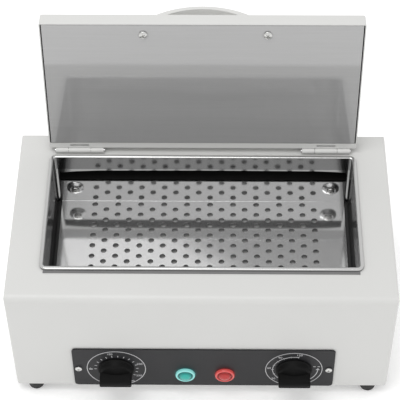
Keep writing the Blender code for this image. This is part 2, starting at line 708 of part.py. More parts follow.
def make_inlet(frame):
    """A three-pin appliance inlet in the rear wall, with its two screws."""
    x, z = INLET_X, INLET_Z
    flange = rounded(x - 25 * MM, x + 25 * MM, z - 11.5 * MM, z + 11.5 * MM, 5 * MM, 3)
    face = REAR + GAP + 2.5 * MM
    inlet = solid("mains_inlet", prism(flange, REAR + GAP, face, "Y"), "black_plastic", frame)
    body = rounded(x - 14 * MM, x + 14 * MM, z - 10.2 * MM, z + 10.2 * MM, 1.8 * MM, 2)
    fuse(inlet, prism(body, face - 18 * MM, face - 1 * MM, "Y"))
    recess = rounded(x - 12.1 * MM, x + 12.1 * MM, z - 8.2 * MM, z + 8.2 * MM,
                     (3 * MM, 3 * MM, 1 * MM, 1 * MM), 2)
    bottom = face - 15 * MM
    cut(inlet, prism(recess, bottom, face + 5 * MM, "Y"))
    cut(inlet, several([rod((x + way * INLET_SCREW, 0, z), 1.9 * MM, REAR - 5 * MM, REAR + 9 * MM,
                            "Y", 10) for _, way in SIDES]))
    pins = ((-7 * MM, -3.5 * MM), (0, -0.5 * MM), (7 * MM, -3.5 * MM))
    fuse(inlet, several([
        box((x + px - 1 * MM, x + px + 1 * MM), (face - 24 * MM, face - 4 * MM),
            (z + pz - 2 * MM, z + pz + 2 * MM))
        for px, pz in pins
    ]))
    for side, way in SIDES:
        at = (x + way * INLET_SCREW, face + GAP, z)
        screw(f"inlet_screw_{side}", 2.9 * MM, 8 * MM, at, "-Y", frame)


# ---- Lid ----


def make_lid(frame):
    half = LID_WIDTH / 2
    shell = solid("lid_shell", lid_form(0), "white_paint", frame)
    cut(shell, box((-half + LID_SHEET, half - LID_SHEET),
                   (LID_FRONT + LID_SHEET, LID_BACK - LID_SHEET),
                   (LID_LOW - 5 * MM, LID_HIGH - LID_SHEET)))
    lip = box((-half + LID_SHEET / 2, half - LID_SHEET / 2),
              (LID_BACK - REAR_FLANGE, LID_BACK - LID_SHEET / 2), (LID_LOW, LID_LOW + LID_SHEET))
    fuse(shell, lip)
    slots = [
        box((way * HINGE_X - 9.5 * MM, way * HINGE_X + 9.5 * MM),
            (LID_BACK - 3.7 * MM, LID_BACK - 2.2 * MM), (LID_LOW - 5 * MM, LID_LOW + 5 * MM))
        for _, way in SIDES
    ]
    cut(shell, several(slots + handle_screw_holes(2.2 * MM)))
    edge, front = half - LID_SHEET - 1.2 * MM, LID_FRONT + LID_SHEET + GAP
    back = LID_BACK - REAR_FLANGE - GAP
    liner = solid("lid_liner", box((-edge, edge), (front, back), (LID_LOW, LID_LOW + 7 * MM)),
                  "satin_steel", frame)
    thin = 0.8 * MM
    cut(liner, box((-edge + thin, edge - thin), (front + thin, back - thin),
                   (LID_LOW + thin, LID_LOW + 12 * MM)))
    cut(liner, several(handle_screw_holes(2.2 * MM)))
    board = solid("lid_insulation",
                  box((-edge + 2 * MM, edge - 2 * MM), (front + 2 * MM, back - 2 * MM),
                      (LID_LOW + thin + GAP, LID_HIGH - LID_SHEET - 2 * MM)), "fibre_board", frame)
    cut(board, several(handle_screw_holes(3 * MM)))
    for side, x in HANDLE_SCREWS:
        screw(f"handle_screw_{side}", 4.1 * MM, LID_THICKNESS + 2.6 * MM,
              (x, HANDLE_Y, LID_LOW - GAP), "Z", frame, shank=1.9 * MM, height=2.4 * MM)


def lid_form(inset):
    """The lid's outer form, with its upper edges broken."""
    half = LID_WIDTH / 2 - inset
    shape = box((-half, half), (LID_FRONT + inset, LID_BACK - inset), (LID_LOW, LID_HIGH - inset))
    upper = [e for e in shape.edges if any(v.co.z > LID_LOW + MM for v in e.verts)]
    bmesh.ops.bevel(shape, geom=upper, offset=1.6 * MM, segments=2, profile=0.5, affect="EDGES")
    return shape


def handle_screw_holes(radius):
    return [rod((x, HANDLE_Y, 0), radius, LID_LOW - 5 * MM, LID_HIGH + 5 * MM, "Z", 12)
            for _, x in HANDLE_SCREWS]


def arc_height(x, radius, rise):
    """Height of a circular bow of that radius and rise at a place along it."""
    return sqrt(max(radius**2 - x**2, 0)) - (radius - rise)


def make_handle(frame):
    """A bow with thick feet, screwed on from inside the lid."""
    base = LID_HIGH + GAP
    half, foot = HANDLE_HALF_LENGTH, HANDLE_FOOT
    span = sqrt(HANDLE_RADIUS**2 - (HANDLE_RADIUS - HANDLE_RISE + foot) ** 2)
    steps = 16
    xs = [span * (1 - 2 * i / steps) for i in range(steps + 1)]
    top = [(x, base + arc_height(x, HANDLE_RADIUS, HANDLE_RISE)) for x in xs]
    outline = [(half, base), (half, base + foot - 1.5 * MM), (half - 1.5 * MM, base + foot), *top,
               (-half + 1.5 * MM, base + foot), (-half, base + foot - 1.5 * MM), (-half, base)]
    inner = sqrt(HANDLE_BORE_RADIUS**2 - (HANDLE_BORE_RADIUS - HANDLE_BORE_RISE) ** 2)
    under = [(inner * (2 * i / 12 - 1), 0) for i in range(13)]
    outline += [(x, base + max(arc_height(x, HANDLE_BORE_RADIUS, HANDLE_BORE_RISE), 0))
                for x, _ in under]
    shape = prism(outline, HANDLE_Y - HANDLE_WIDTH / 2, HANDLE_Y + HANDLE_WIDTH / 2, "Y")
    handle = solid("lid_handle", shape, "white_plastic", frame)
    cut(handle, several([rod((x, HANDLE_Y, 0), 2.2 * MM, LID_LOW, base + 3.6 * MM, "Z", 12)
                         for _, x in HANDLE_SCREWS]))


# ---- Hinges ----


HINGE_X = 124 * MM
HINGE_HALF = 24 * MM
MIDDLE_HALF = 11 * MM
LEAF = 1.2 * MM
PIN_RADIUS = 1.5 * MM
# Where the open lid's rear face lies, above the axis, over the stop
STOP_RISE = -LID_BACK * sin(LID_OPEN) + 12.4 * MM * cos(LID_OPEN) - 0.5 * MM


def knuckle(x0, x1, y, z):
    return rod((0, y, z), KNUCKLE_RADIUS, x0, x1, "X", 16)


def make_hinge(side, way, case_frame, lid_frame):
    """A three-knuckle hinge: the outer knuckles' leaf lies on the casing, the middle one's stands
    against the lid's rear face. The casing leaf's raised rear edge stops the open lid."""
    x = way * HINGE_X
    split = MIDDLE_HALF + GAP / 2
    low = CASE_TOP + GAP
    plate = box((x - HINGE_HALF, x + HINGE_HALF), (HINGE_Y, HINGE_Y + 13 * MM), (low, low + LEAF))
    leaf = solid(f"hinge_case_leaf_{side}", plate, "white_paint", case_frame)
    fuse(leaf, knuckle(x - HINGE_HALF, x + HINGE_HALF, HINGE_Y, HINGE_Z))
    fuse(leaf, box((x - 16 * MM, x + 16 * MM), (HINGE_Y + 11.8 * MM, HINGE_Y + 13 * MM),
                   (low + LEAF / 2, HINGE_Z + STOP_RISE)))
    cut(leaf, box((x - split - GAP, x + split + GAP),
                  (HINGE_Y - 9 * MM, HINGE_Y + KNUCKLE_RADIUS + 1 * MM), (low - 5 * MM, low + 20 * MM)))
    cut(leaf, rod((0, HINGE_Y, HINGE_Z), PIN_RADIUS + GAP, x - 30 * MM, x + 30 * MM, "X", 12))
    wide = x - MIDDLE_HALF, x + MIDDLE_HALF
    stand = box(wide, (LID_BACK + GAP, LID_BACK + GAP + LEAF), (0, 9 * MM))
    upper = solid(f"hinge_lid_leaf_{side}", stand, "white_paint", lid_frame)
    fuse(upper, knuckle(*wide, 0, 0))
    cut(upper, rod((0, 0, 0), PIN_RADIUS + GAP, x - 30 * MM, x + 30 * MM, "X", 12))
    pin = [(0, -HINGE_HALF - 1.5 * MM), (1.2 * MM, -HINGE_HALF - 1.5 * MM),
           (PIN_RADIUS, -HINGE_HALF - 1 * MM), (PIN_RADIUS, HINGE_HALF + 1 * MM),
           (1.2 * MM, HINGE_HALF + 1.5 * MM), (0, HINGE_HALF + 1.5 * MM)]
    solid(f"hinge_pin_{side}", turned(pin, (x, HINGE_Y, HINGE_Z), "X", 12), "satin_steel",
          case_frame)


def main():
    clear_scene()
    case_frame = frame_at("case_frame", (0, CASE_CENTRE_Y, 0))
    lid_frame = frame_at("lid_frame", (0, HINGE_Y, HINGE_Z), case_frame)
    make_casing(case_frame)
    make_base(case_frame)
    make_feet(case_frame)
    make_panel(case_frame)
    make_control("temperature", -1, (38 * MM, 34 * MM), 26 * MM, case_frame)
    make_control("timer", 1, (50 * MM, 44 * MM), 34 * MM, case_frame)
    make_lamp("green", -1, case_frame)
    make_lamp("red", 1, case_frame)
    make_tank(case_frame)
    make_air_channel(case_frame)
    make_tray(case_frame)
    make_heater(case_frame)
    make_sensor(case_frame)
    make_insulation(case_frame)
    make_inlet(case_frame)
    make_lid(lid_frame)
    make_handle(lid_frame)
    for side, way in SIDES:
        make_hinge(side, way, case_frame, lid_frame)
    # Everything on the lid is drawn closed, and the lid stands open at rest.
    lid_frame.rotation_euler.x = -LID_OPEN


main()
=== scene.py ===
import json
from math import atan2, cos, pi, radians, sin

import bmesh
import bpy
from mathutils import Matrix, Vector


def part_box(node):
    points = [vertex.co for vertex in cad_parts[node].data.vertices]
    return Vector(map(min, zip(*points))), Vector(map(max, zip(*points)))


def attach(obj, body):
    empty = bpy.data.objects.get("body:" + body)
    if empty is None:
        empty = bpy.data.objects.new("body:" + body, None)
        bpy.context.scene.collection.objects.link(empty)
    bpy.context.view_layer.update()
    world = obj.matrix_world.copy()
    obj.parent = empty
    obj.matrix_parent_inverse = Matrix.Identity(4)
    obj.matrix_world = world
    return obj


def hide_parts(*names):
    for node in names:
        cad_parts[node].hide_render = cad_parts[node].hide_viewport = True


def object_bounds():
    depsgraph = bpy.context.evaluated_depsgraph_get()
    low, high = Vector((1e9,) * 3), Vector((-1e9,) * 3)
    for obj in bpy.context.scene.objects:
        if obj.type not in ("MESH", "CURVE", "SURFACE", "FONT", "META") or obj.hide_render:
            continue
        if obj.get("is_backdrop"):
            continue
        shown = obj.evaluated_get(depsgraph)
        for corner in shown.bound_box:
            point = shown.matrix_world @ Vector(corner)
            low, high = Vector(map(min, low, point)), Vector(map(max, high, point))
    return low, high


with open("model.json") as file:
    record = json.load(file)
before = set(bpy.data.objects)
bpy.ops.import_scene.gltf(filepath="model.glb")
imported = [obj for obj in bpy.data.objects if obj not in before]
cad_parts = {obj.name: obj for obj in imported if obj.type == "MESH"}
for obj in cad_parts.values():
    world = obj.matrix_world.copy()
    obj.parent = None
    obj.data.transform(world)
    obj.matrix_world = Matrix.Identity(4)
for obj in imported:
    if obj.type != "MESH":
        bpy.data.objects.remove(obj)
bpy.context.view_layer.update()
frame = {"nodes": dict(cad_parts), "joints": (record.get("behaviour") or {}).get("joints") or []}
scene = bpy.context.scene
mm = 0.001

caseLow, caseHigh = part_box("casing_shell")
caseMiddleY = (caseLow.y + caseHigh.y) / 2
joints = {joint["name"]: joint for joint in frame["joints"]}
hinge = joints["lid_hinge"]
openAngle = radians(hinge["range_deg"][1])
# from the closed lid to the open one
lidTurn = Matrix.Translation(hinge["pos_m"]) @ Matrix.Rotation(-openAngle, 4, "X")
print("frame loaded:", len(frame["nodes"]), "nodes")


# Node trees: Wire is one value in a tree, and Board draws the nodes

class Wire:
    def __init__(self, board, socket):
        self.board = board
        self.socket = socket

    def maths(self, operation, first, second):
        return self.board.node("ShaderNodeMath", {"operation": operation}, {0: first, 1: second})

    def __add__(self, other):
        return self.maths("ADD", self, other)

    def __radd__(self, other):
        return self.maths("ADD", other, self)

    def __sub__(self, other):
        return self.maths("SUBTRACT", self, other)

    def __rsub__(self, other):
        return self.maths("SUBTRACT", other, self)

    def __mul__(self, other):
        return self.maths("MULTIPLY", self, other)

    def __truediv__(self, other):
        return self.maths("DIVIDE", self, other)

    def __mod__(self, other):
        return self.maths("FLOORED_MODULO", self, other)

    def __floordiv__(self, other):
        return self.maths("FLOOR", self / other, 0)


class Board:
    def __init__(self, tree):
        self.tree = tree

    def feed(self, socket, value):
        for one in value if isinstance(value, list) else [value]:
            if isinstance(one, Wire):
                self.tree.links.new(one.socket, socket)
            else:
                socket.default_value = one

    def node(self, kind, settings=None, sockets=None, out=0):
        made = self.tree.nodes.new(kind)
        for key, value in (settings or {}).items():
            if key == "stops":
                self.setStops(made.color_ramp, value)
            else:
                setattr(made, key, value)
        for key, value in (sockets or {}).items():
            self.feed(made.inputs[key], value)
        return Wire(self, made.outputs[out])

    def setStops(self, ramp, stops):
        while len(ramp.elements) < len(stops):
            ramp.elements.new(1)
        for element, (place, colour) in zip(ramp.elements, stops):
            element.position = place
            element.color = (*colour, 1) if isinstance(colour, tuple) else (colour, colour, colour, 1)

    def mix(self, factor, first, second):
        return self.node("ShaderNodeMix", {"data_type": "RGBA"}, {0: factor, 6: first, 7: second}, out=2)

    def noise(self, where, scale, stretch=(1, 1, 1), detail=2.0, rough=0.5):
        pushed = self.node("ShaderNodeMapping", sockets={"Vector": where, "Scale": stretch})
        return self.node("ShaderNodeTexNoise", sockets={
            "Vector": pushed, "Scale": scale, "Detail": detail, "Roughness": rough})

    def part(self, where, axis):
        return self.node("ShaderNodeSeparateXYZ", sockets={"Vector": where}, out="XYZ".index(axis))

    def distance(self, where, centre):
        return self.node("ShaderNodeVectorMath", {"operation": "DISTANCE"}, {0: where, 1: centre}, out="Value")

    def ramp(self, value, stops):
        return self.node("ShaderNodeValToRGB", {"stops": stops}, {"Fac": value})

    def step(self, value, start, end):
        return self.node("ShaderNodeMapRange", {"interpolation_type": "SMOOTHSTEP"},
                         {"Value": value, "From Min": start, "From Max": end})

    def bump(self, height, strength, distance, before=None):
        sockets = {"Strength": strength, "Distance": distance, "Height": height}
        if before:
            sockets["Normal"] = before
        return self.node("ShaderNodeBump", sockets=sockets)


def colour(grey, tint=(1, 1, 1)):
    return (*(grey * part for part in tint), 1)


def startFinish(name, uniform):
    made = bpy.data.materials.new(name)
    made.use_nodes = True
    shader = made.node_tree.nodes["Principled BSDF"]
    for key, value in uniform.items():
        shader.inputs[key].default_value = value  # the same all over the surface
    board = Board(made.node_tree)
    where = board.node("ShaderNodeTexCoord", out="Object")
    return made, board, shader, where


def endFinish(board, shader, sockets):
    for key, value in sockets.items():
        board.feed(shader.inputs[key], value)


# Finishes

paintValues = {"light": (0.625, 0.625, 0.612, 1), "dark": (0.595, 0.595, 0.582, 1), "peel": 700,
               "peelDepth": 0.05 * mm}


def paintedSteel():
    made, board, shader, where = startFinish("powder coat", {"Specular IOR Level": 0.45})
    peel = board.noise(where, paintValues["peel"])
    cloud = board.noise(where, 9, detail=3)
    endFinish(board, shader, {
        "Base Color": board.mix(cloud, paintValues["dark"], paintValues["light"]),
        "Roughness": 0.38 + peel * 0.14,
        "Coat Weight": cloud * 0.2,
        "Normal": board.bump(peel, 0.35, paintValues["peelDepth"]),
    })
    return made


mirrorValues = {"grey": 0.60, "roughness": 0.055, "waveScale": 17, "waveDepth": 0.35 * mm, "underGrey": 0.46,
                "paintedGapShadeGrey": 0.05, "paintedGapShadeWidth": 7 * mm, "paintedSideShadeGrey": 0.18, "paintedWallShade": 0.6, "paintedBackShadeGrey": 0.32}


def mirrorSteel(trayTop, slotTop, wallX, wallY, rimTop):
    made, board, shader, where = startFinish("polished steel", {})
    scratch = board.noise(where, 60, (0.4, 9, 9), detail=4, rough=0.7)
    smear = board.noise(where, 23, detail=3)
    wave = board.noise(where, mirrorValues["waveScale"], detail=1)
    height = board.part(where, "Z")
    out = board.node("ShaderNodeMath", {"operation": "ABSOLUTE"}, {0: board.part(where, "X")})
    under = 1 - board.step(height, trayTop - 2.2 * mm, trayTop - 1.2 * mm)
    # painted shade: a near-black strip of the floor under the gaps beside the tray
    gap = board.step(out, wallX - mirrorValues["paintedGapShadeWidth"], wallX - mirrorValues["paintedGapShadeWidth"] + 2 * mm)
    below = 1 - board.step(height, rimTop - 1.6 * mm, rimTop - 1.1 * mm)
    # painted shade: the side walls below the rim are made darker, standing in for their dark reflection
    side = board.step(out, wallX - 0.9 * mm, wallX - 0.3 * mm) * below
    # painted shade: the back wall above the slot is made darker
    overSlot = board.step(height, slotTop - 1 * mm, slotTop)
    back = board.step(board.part(where, "Y"), wallY - 0.9 * mm, wallY - 0.3 * mm) * overSlot * below
    grey, spread = mirrorValues["grey"], 0.04
    bright = board.mix(smear, colour(grey - spread), colour(grey + spread, (1, 1, 0.985)))
    paintedShadeColour = board.mix(back, bright, colour(mirrorValues["paintedBackShadeGrey"]))  # painted shade on the back wall above the slot, standing in for its dark reflection
    paintedShadeColour = board.mix(side, paintedShadeColour, colour(mirrorValues["paintedSideShadeGrey"]))
    # below the tray a matte grey floor, with painted shade, near black, in the gaps beside the tray
    shade = board.mix(gap, colour(mirrorValues["underGrey"]), colour(mirrorValues["paintedGapShadeGrey"]))
    first = board.bump(wave, 1.0, mirrorValues["waveDepth"])
    endFinish(board, shader, {
        "Base Color": board.mix(under, paintedShadeColour, shade),
        "Metallic": 1.0 - under,
        "Roughness": mirrorValues["roughness"] + scratch * 0.05 + smear * 0.03 + under * 0.45,
        "Normal": board.bump(scratch, 0.08, 0.02 * mm, first),
    })
    # painted shade: a near-black matte layer mixed over the side walls, standing in for their dark reflection
    paintedWallShade = board.tree.nodes.new("ShaderNodeBsdfPrincipled")
    paintedWallShade.inputs["Specular IOR Level"].default_value = 0.05
    board.feed(paintedWallShade.inputs["Base Color"], board.mix(smear, colour(0.02), colour(0.04)))
    board.feed(paintedWallShade.inputs["Roughness"], 0.7 + smear * 0.2)
    paintedShadeShader = board.node("ShaderNodeMixShader", sockets={
        0: side * mirrorValues["paintedWallShade"], 1: Wire(board, shader.outputs[0]), 2: Wire(board, paintedWallShade.outputs[0])})
    board.feed(board.tree.nodes["Material Output"].inputs["Surface"], paintedShadeShader)
    return made


trayFinish = {"grey": 0.65, "metal": 0.86, "roughness": 0.08}
linerValues = {"grey": 0.40, "metal": 0.32, "roughness": 0.045}


def satinSteel(name="satin steel", metal=1.0, grey=0.62, roughness=0.2):
    made, board, shader, where = startFinish(name, {})
    grain = board.noise(where, 50, (0.25, 14, 14), detail=5, rough=0.65)  # brushed along the width
    wave = board.noise(where, 8, detail=1)
    first = board.bump(wave, 1.0, 0.3 * mm)
    endFinish(board, shader, {
        "Base Color": board.mix(grain, colour(grey - 0.03), colour(grey + 0.03)),
        "Metallic": metal + grain * 0.02,
        "Roughness": roughness + grain * 0.03,
        "Normal": board.bump(grain, 0.06, 0.02 * mm, first),
    })
    return made


def zincSteel():
    made, board, shader, where = startFinish("zinc plate", {})
    spangle = board.node("ShaderNodeTexVoronoi", sockets={"Vector": where, "Scale": 420}, out="Color")
    cloud = board.noise(where, 150, detail=3)
    endFinish(board, shader, {
        "Base Color": board.mix(cloud, (0.56, 0.56, 0.54, 1), (0.72, 0.72, 0.71, 1)),
        "Metallic": 0.95 + cloud * 0.05,
        "Roughness": 0.24 + board.part(spangle, "X") * 0.12,
        "Normal": board.bump(cloud, 0.15, 0.03 * mm),
    })
    return made


def moulded(name, dark, light, roughness, grainScale, depth, uniform=None):
    made, board, shader, where = startFinish(name, uniform or {})
    grain = board.noise(where, grainScale, detail=3)
    rub = board.noise(where, 55, detail=4, rough=0.6)
    endFinish(board, shader, {
        "Base Color": board.mix(rub, dark, light),
        "Roughness": roughness - 0.04 + rub * 0.12,
        "Normal": board.bump(grain, 0.3, depth),
    })
    return made


panelValues = {"dark": (0.014, 0.014, 0.0155, 1), "light": (0.021, 0.021, 0.023, 1), "paintedHaloStart": 8 * mm,
               "paintedHaloReach": 14 * mm}


def panelPaint(lamps):
    made, board, shader, where = startFinish("charcoal panel", {
        "Specular IOR Level": 0.3, "Emission Strength": 1.0})
    grain = board.noise(where, 1500, detail=2)
    cloud = board.noise(where, 30, detail=3)
    # painted light: a coloured glow painted into the panel's emission round each lamp, fading with distance
    glow = (0, 0, 0, 1)
    for centre, tint in lamps:
        away = board.distance(where, centre)
        near = 1 - board.step(away, panelValues["paintedHaloStart"], panelValues["paintedHaloReach"])
        glow = board.mix(near * near, glow, tint)
    endFinish(board, shader, {
        "Base Color": board.mix(cloud, panelValues["dark"], panelValues["light"]),
        "Roughness": 0.42 + grain * 0.14,
        "Emission Color": glow,
        "Normal": board.bump(grain, 0.25, 0.03 * mm),
    })
    return made


def printInk():
    made, board, shader, where = startFinish("white print", {"Specular IOR Level": 0.3})
    worn = board.noise(where, 600, detail=3)
    endFinish(board, shader, {
        "Base Color": board.mix(worn, (0.42, 0.42, 0.43, 1), (0.62, 0.62, 0.63, 1)),
        "Roughness": 0.5 + worn * 0.15,
        "Normal": board.bump(worn, 0.2, 0.02 * mm),
    })
    return made


def lampGlass(name, centre, tints):
    edge, core, ring = (tints[key] for key in ("edge", "core", "ring"))
    made, board, shader, where = startFinish(name, {"Emission Strength": 0.2, "IOR": 1.45})
    away = board.distance(where, centre)
    flutes = board.node("ShaderNodeTexVoronoi", sockets={"Vector": where, "Scale": 900})
    share = away / (10.2 * mm)
    shade = board.ramp(share, [(0.0, core), (0.45, core), (0.70, edge), (0.78, ring), (1.0, ring)])
    endFinish(board, shader, {
        "Base Color": shade,
        "Roughness": 0.08 + flutes * 0.12,
        "Coat Weight": 0.25 + flutes * 0.2,
        "Emission Color": shade,
        "Normal": board.bump(flutes, 0.25, 0.15 * mm),
    })
    return made


def scaledSteel():
    made, board, shader, where = startFinish("blackened steel", {})
    scale = board.noise(where, 70, detail=5, rough=0.65)
    endFinish(board, shader, {
        "Base Color": board.mix(scale, (0.004, 0.004, 0.004, 1), (0.014, 0.013, 0.012, 1)),
        "Metallic": 0.3 + scale * 0.2,
        "Roughness": 0.6 + scale * 0.25,
        "Normal": board.bump(scale, 0.4, 0.1 * mm),
    })
    return made


def fibreBoard():
    made, board, shader, where = startFinish("fibre board", {})
    fibre = board.noise(where, 160, (0.3, 3, 1.4), detail=6, rough=0.75)
    endFinish(board, shader, {
        "Base Color": board.ramp(fibre, [
            (0.25, (0.55, 0.50, 0.40)), (0.55, (0.72, 0.68, 0.57)), (0.8, (0.80, 0.77, 0.68))]),
        "Roughness": 0.88 + fibre * 0.1,
        "Normal": board.bump(fibre, 0.8, 0.4 * mm),
    })
    return made


def micaSheet():
    made, board, shader, where = startFinish("mica", {})
    flake = board.node("ShaderNodeTexVoronoi", sockets={"Vector": where, "Scale": 260}, out="Color")
    cloud = board.noise(where, 35, detail=4)
    endFinish(board, shader, {
        "Base Color": board.mix(cloud, (0.34, 0.27, 0.18, 1), (0.55, 0.48, 0.36, 1)),
        "Roughness": 0.35 + board.part(flake, "X") * 0.3,
        "Normal": board.bump(board.part(flake, "Y"), 0.2, 0.05 * mm),
    })
    return made


def copperPipe():
    made, board, shader, where = startFinish("copper", {})
    tarnish = board.noise(where, 110, detail=4)
    endFinish(board, shader, {
        "Base Color": board.ramp(tarnish, [
            (0.3, (0.42, 0.20, 0.11)), (0.6, (0.72, 0.36, 0.20)), (0.85, (0.82, 0.46, 0.28))]),
        "Metallic": 0.9 + tarnish * 0.1,
        "Roughness": 0.2 + tarnish * 0.25,
        "Normal": board.bump(tarnish, 0.2, 0.03 * mm),
    })
    return made


# each glow is the colour of the light painted on the panel round that lamp
lampTints = {
    "green": {"edge": (0.0, 0.08, 0.085), "core": (0.005, 0.33, 0.28), "ring": (0.26, 0.66, 0.63),
              "glow": (0.01, 0.11, 0.11, 1)},
    "red": {"edge": (0.18, 0.003, 0.003), "core": (0.38, 0.010, 0.009), "ring": (0.60, 0.08, 0.075),
            "glow": (0.13, 0.012, 0.012, 1)},
}
lampCentres = {}
for lampName in lampTints:
    lampLow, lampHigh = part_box(lampName + "_lamp_lens")
    lampMiddle = (lampLow + lampHigh) / 2
    lampCentres[lampName] = Vector((lampMiddle.x, lampLow.y + 3 * mm, lampMiddle.z))
trayLow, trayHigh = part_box("perforated_tray")
tankLow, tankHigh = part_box("chamber_tank")
trayValues = {
    "depth": 66, "sheet": 1.0, "bend": 0.3, "holeRadius": 3.0, "holeSides": 24, "rows": 19, "columns": 20,
    "rowStep": 6.8, "columnStep": 11.9, "firstRow": 5.9, "middleX": 1.5, "flangeDrop": 4.2, "drill": 8,
    "plateInset": 3.0, "plateRound": 1.5,
}
trayTop = tankHigh.z - trayValues["depth"] * mm
rimWidth = 4 * mm

finishes = {
    "white_paint": paintedSteel(),
    "polished_steel": mirrorSteel(trayTop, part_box("air_channel")[1].z, tankHigh.x - rimWidth,
                                  tankHigh.y - rimWidth, tankHigh.z),
    "tray_steel": satinSteel("tray steel", **trayFinish),
    "satin_steel": satinSteel(),
    "liner_steel": satinSteel("liner steel", **linerValues),
    "zinc_steel": zincSteel(),
    "black_panel": panelPaint([(lampCentres[name], lampTints[name]["glow"]) for name in lampTints]),
    "black_plastic": moulded("black knob plastic", colour(0.003), colour(0.006), 0.5, 1300, 0.03 * mm,
                             {"Specular IOR Level": 0.12}),
    # painted shade: the grey finish of the strip along the rim's front
    "rim_shade_strip_grey": moulded("rim shade strip grey", colour(0.14), colour(0.18), 0.55, 700, 0.05 * mm),
    "black_rubber": moulded("black rubber", colour(0.012), (0.03, 0.03, 0.029, 1), 0.75, 900, 0.08 * mm),
    "white_plastic": moulded("white handle plastic", (0.60, 0.60, 0.585, 1), (0.64, 0.64, 0.625, 1), 0.36,
                             1100, 0.03 * mm),
    "green_lens": lampGlass("green lens", lampCentres["green"], lampTints["green"]),
    "red_lens": lampGlass("red lens", lampCentres["red"], lampTints["red"]),
    "blackened_steel": scaledSteel(),
    "fibre_board": fibreBoard(),
    "mica": micaSheet(),
    "copper": copperPipe(),
    "cream_plastic": moulded("cream moulding", (0.56, 0.52, 0.42, 1), (0.66, 0.62, 0.52, 1), 0.5, 900,
                             0.05 * mm),
    "print": printInk(),
}
print("finishes made:", len(finishes))


# Mesh tools

def meshFrom(name, shape):
    bmesh.ops.remove_doubles(shape, verts=shape.verts, dist=0.002 * mm)
    bmesh.ops.recalc_face_normals(shape, faces=shape.faces)
    mesh = bpy.data.meshes.new(name)
    shape.to_mesh(mesh)
    shape.free()
    return mesh


def place(name, mesh):
    made = bpy.data.objects.new(name, mesh)
    scene.collection.objects.link(made)
    return made


def settled(thing, name):  # the object's shape with its modifiers in it, as a plain mesh
    bpy.context.view_layer.update()
    mesh = bpy.data.meshes.new_from_object(thing.evaluated_get(bpy.context.evaluated_depsgraph_get()))
    mesh.name = name
    thing.modifiers.clear()
    return mesh


def piece(name, mesh, finish, body, stands=(), sharp=40):
    mesh.materials.clear()
    mesh.materials.append(finishes[finish])
    mesh.shade_smooth()
    mesh.set_sharp_from_angle(angle=radians(sharp))
    carrier = place(name + "Carrier", mesh)
    weighted = carrier.modifiers.new("weighted normals", "WEIGHTED_NORMAL")
    weighted.keep_sharp = True
    made = place(name, settled(carrier, name))
    bpy.data.objects.remove(carrier)
    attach(made, body)
    if stands:
        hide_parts(*stands)
    return made


def softened(name, mesh, width, segments=3, angle=40):  # edges sharper than angle get a small round
    carrier = place(name + "Carrier", mesh)
    bevel = carrier.modifiers.new("bevel", "BEVEL")
    bevel.width = width
    bevel.segments = segments
    bevel.limit_method = "ANGLE"
    bevel.angle_limit = radians(angle)
    bevel.miter_outer = "MITER_ARC"
    made = settled(carrier, name)
    bpy.data.objects.remove(carrier)
    return made


def sewnCopy(node):
    shape = bmesh.new()
    shape.from_mesh(frame["nodes"][node].data)
    bmesh.ops.remove_doubles(shape, verts=shape.verts, dist=0.01 * mm)
    bmesh.ops.dissolve_limit(shape, angle_limit=radians(0.6), verts=shape.verts, edges=shape.edges)
    mesh = bpy.data.meshes.new(node + "Copy")
    shape.to_mesh(mesh)
    shape.free()
    return mesh


def refined(node, finish, body, width, segments=2, angle=40):
    return piece(node + "_finished", softened(node, sewnCopy(node), width * mm, segments, angle),
                 finish, body, [node])


def join(rings):  # skins rings of equally many points, and caps both ends
    shape = bmesh.new()
    rows = [[shape.verts.new(point) for point in ring] for ring in rings]
    count = len(rows[0])
    for near, far in zip(rows, rows[1:]):
        for i in range(count):
            j = (i + 1) % count
            shape.faces.new((near[i], near[j], far[j], far[i]))
    shape.faces.new(rows[0])
    shape.faces.new(rows[-1])
    return shape


def arc(centreU, centreV, radius, start, end, steps):  # points of an arc, in quarter turns
    turns = [(start + (end - start) * i / steps) * pi / 2 for i in range(steps + 1)]
    return [(centreU + radius * cos(t), centreV + radius * sin(t)) for t in turns]


def roundedRectangle(left, right, low, high, radius, steps=6):
    corners = ((right, high, -1, -1), (left, high, 1, -1), (left, low, 1, 1), (right, low, -1, 1))
    points = []
    for turn, (u, v, inU, inV) in enumerate(corners):
        points += arc(u + inU * radius, v + inV * radius, radius, turn, turn + 1, steps)
    return points


def lathe(profile, centre, facing, segments=48):
    # profile holds (radius, height) from the axis out and back to it, and height runs along facing
    rings = []
    for radius, height in profile:
        turns = [2 * pi * i / segments for i in range(segments)]
        rings.append([(max(radius, 1e-6) * cos(t), max(radius, 1e-6) * sin(t), height) for t in turns])
    shape = join(rings)
    turn = Vector(facing).to_track_quat("Z", "Y").to_matrix().to_4x4()
    bmesh.ops.transform(shape, matrix=Matrix.Translation(centre) @ turn, verts=shape.verts)
    bmesh.ops.dissolve_degenerate(shape, dist=0.003 * mm, edges=shape.edges)
    return shape


def pushed(outline, low, high, axis):  # an outline pushed along an axis
    spots = {"X": lambda u, v, w: (w, u, v), "Y": lambda u, v, w: (u, w, v), "Z": lambda u, v, w: (u, v, w)}
    return join([[spots[axis](u, v, w) for u, v in outline] for w in (low, high)])


def joined(name, meshes):
    whole = bmesh.new()
    for mesh in meshes:
        whole.from_mesh(mesh)
        bpy.data.meshes.remove(mesh)
    made = bpy.data.meshes.new(name)
    whole.to_mesh(made)
    whole.free()
    return made


def cutAway(mesh, name, cutters):
    carrier = place(name + "Carrier", mesh)
    helpers = [place(name + "Cutter", cutter) for cutter in cutters]
    for helper in helpers:
        modifier = carrier.modifiers.new("cut", "BOOLEAN")
        modifier.operation = "DIFFERENCE"
        modifier.object = helper
        modifier.solver = "EXACT"
    made = settled(carrier, name)
    for used in [carrier, *helpers]:
        bpy.data.objects.remove(used)
    return made


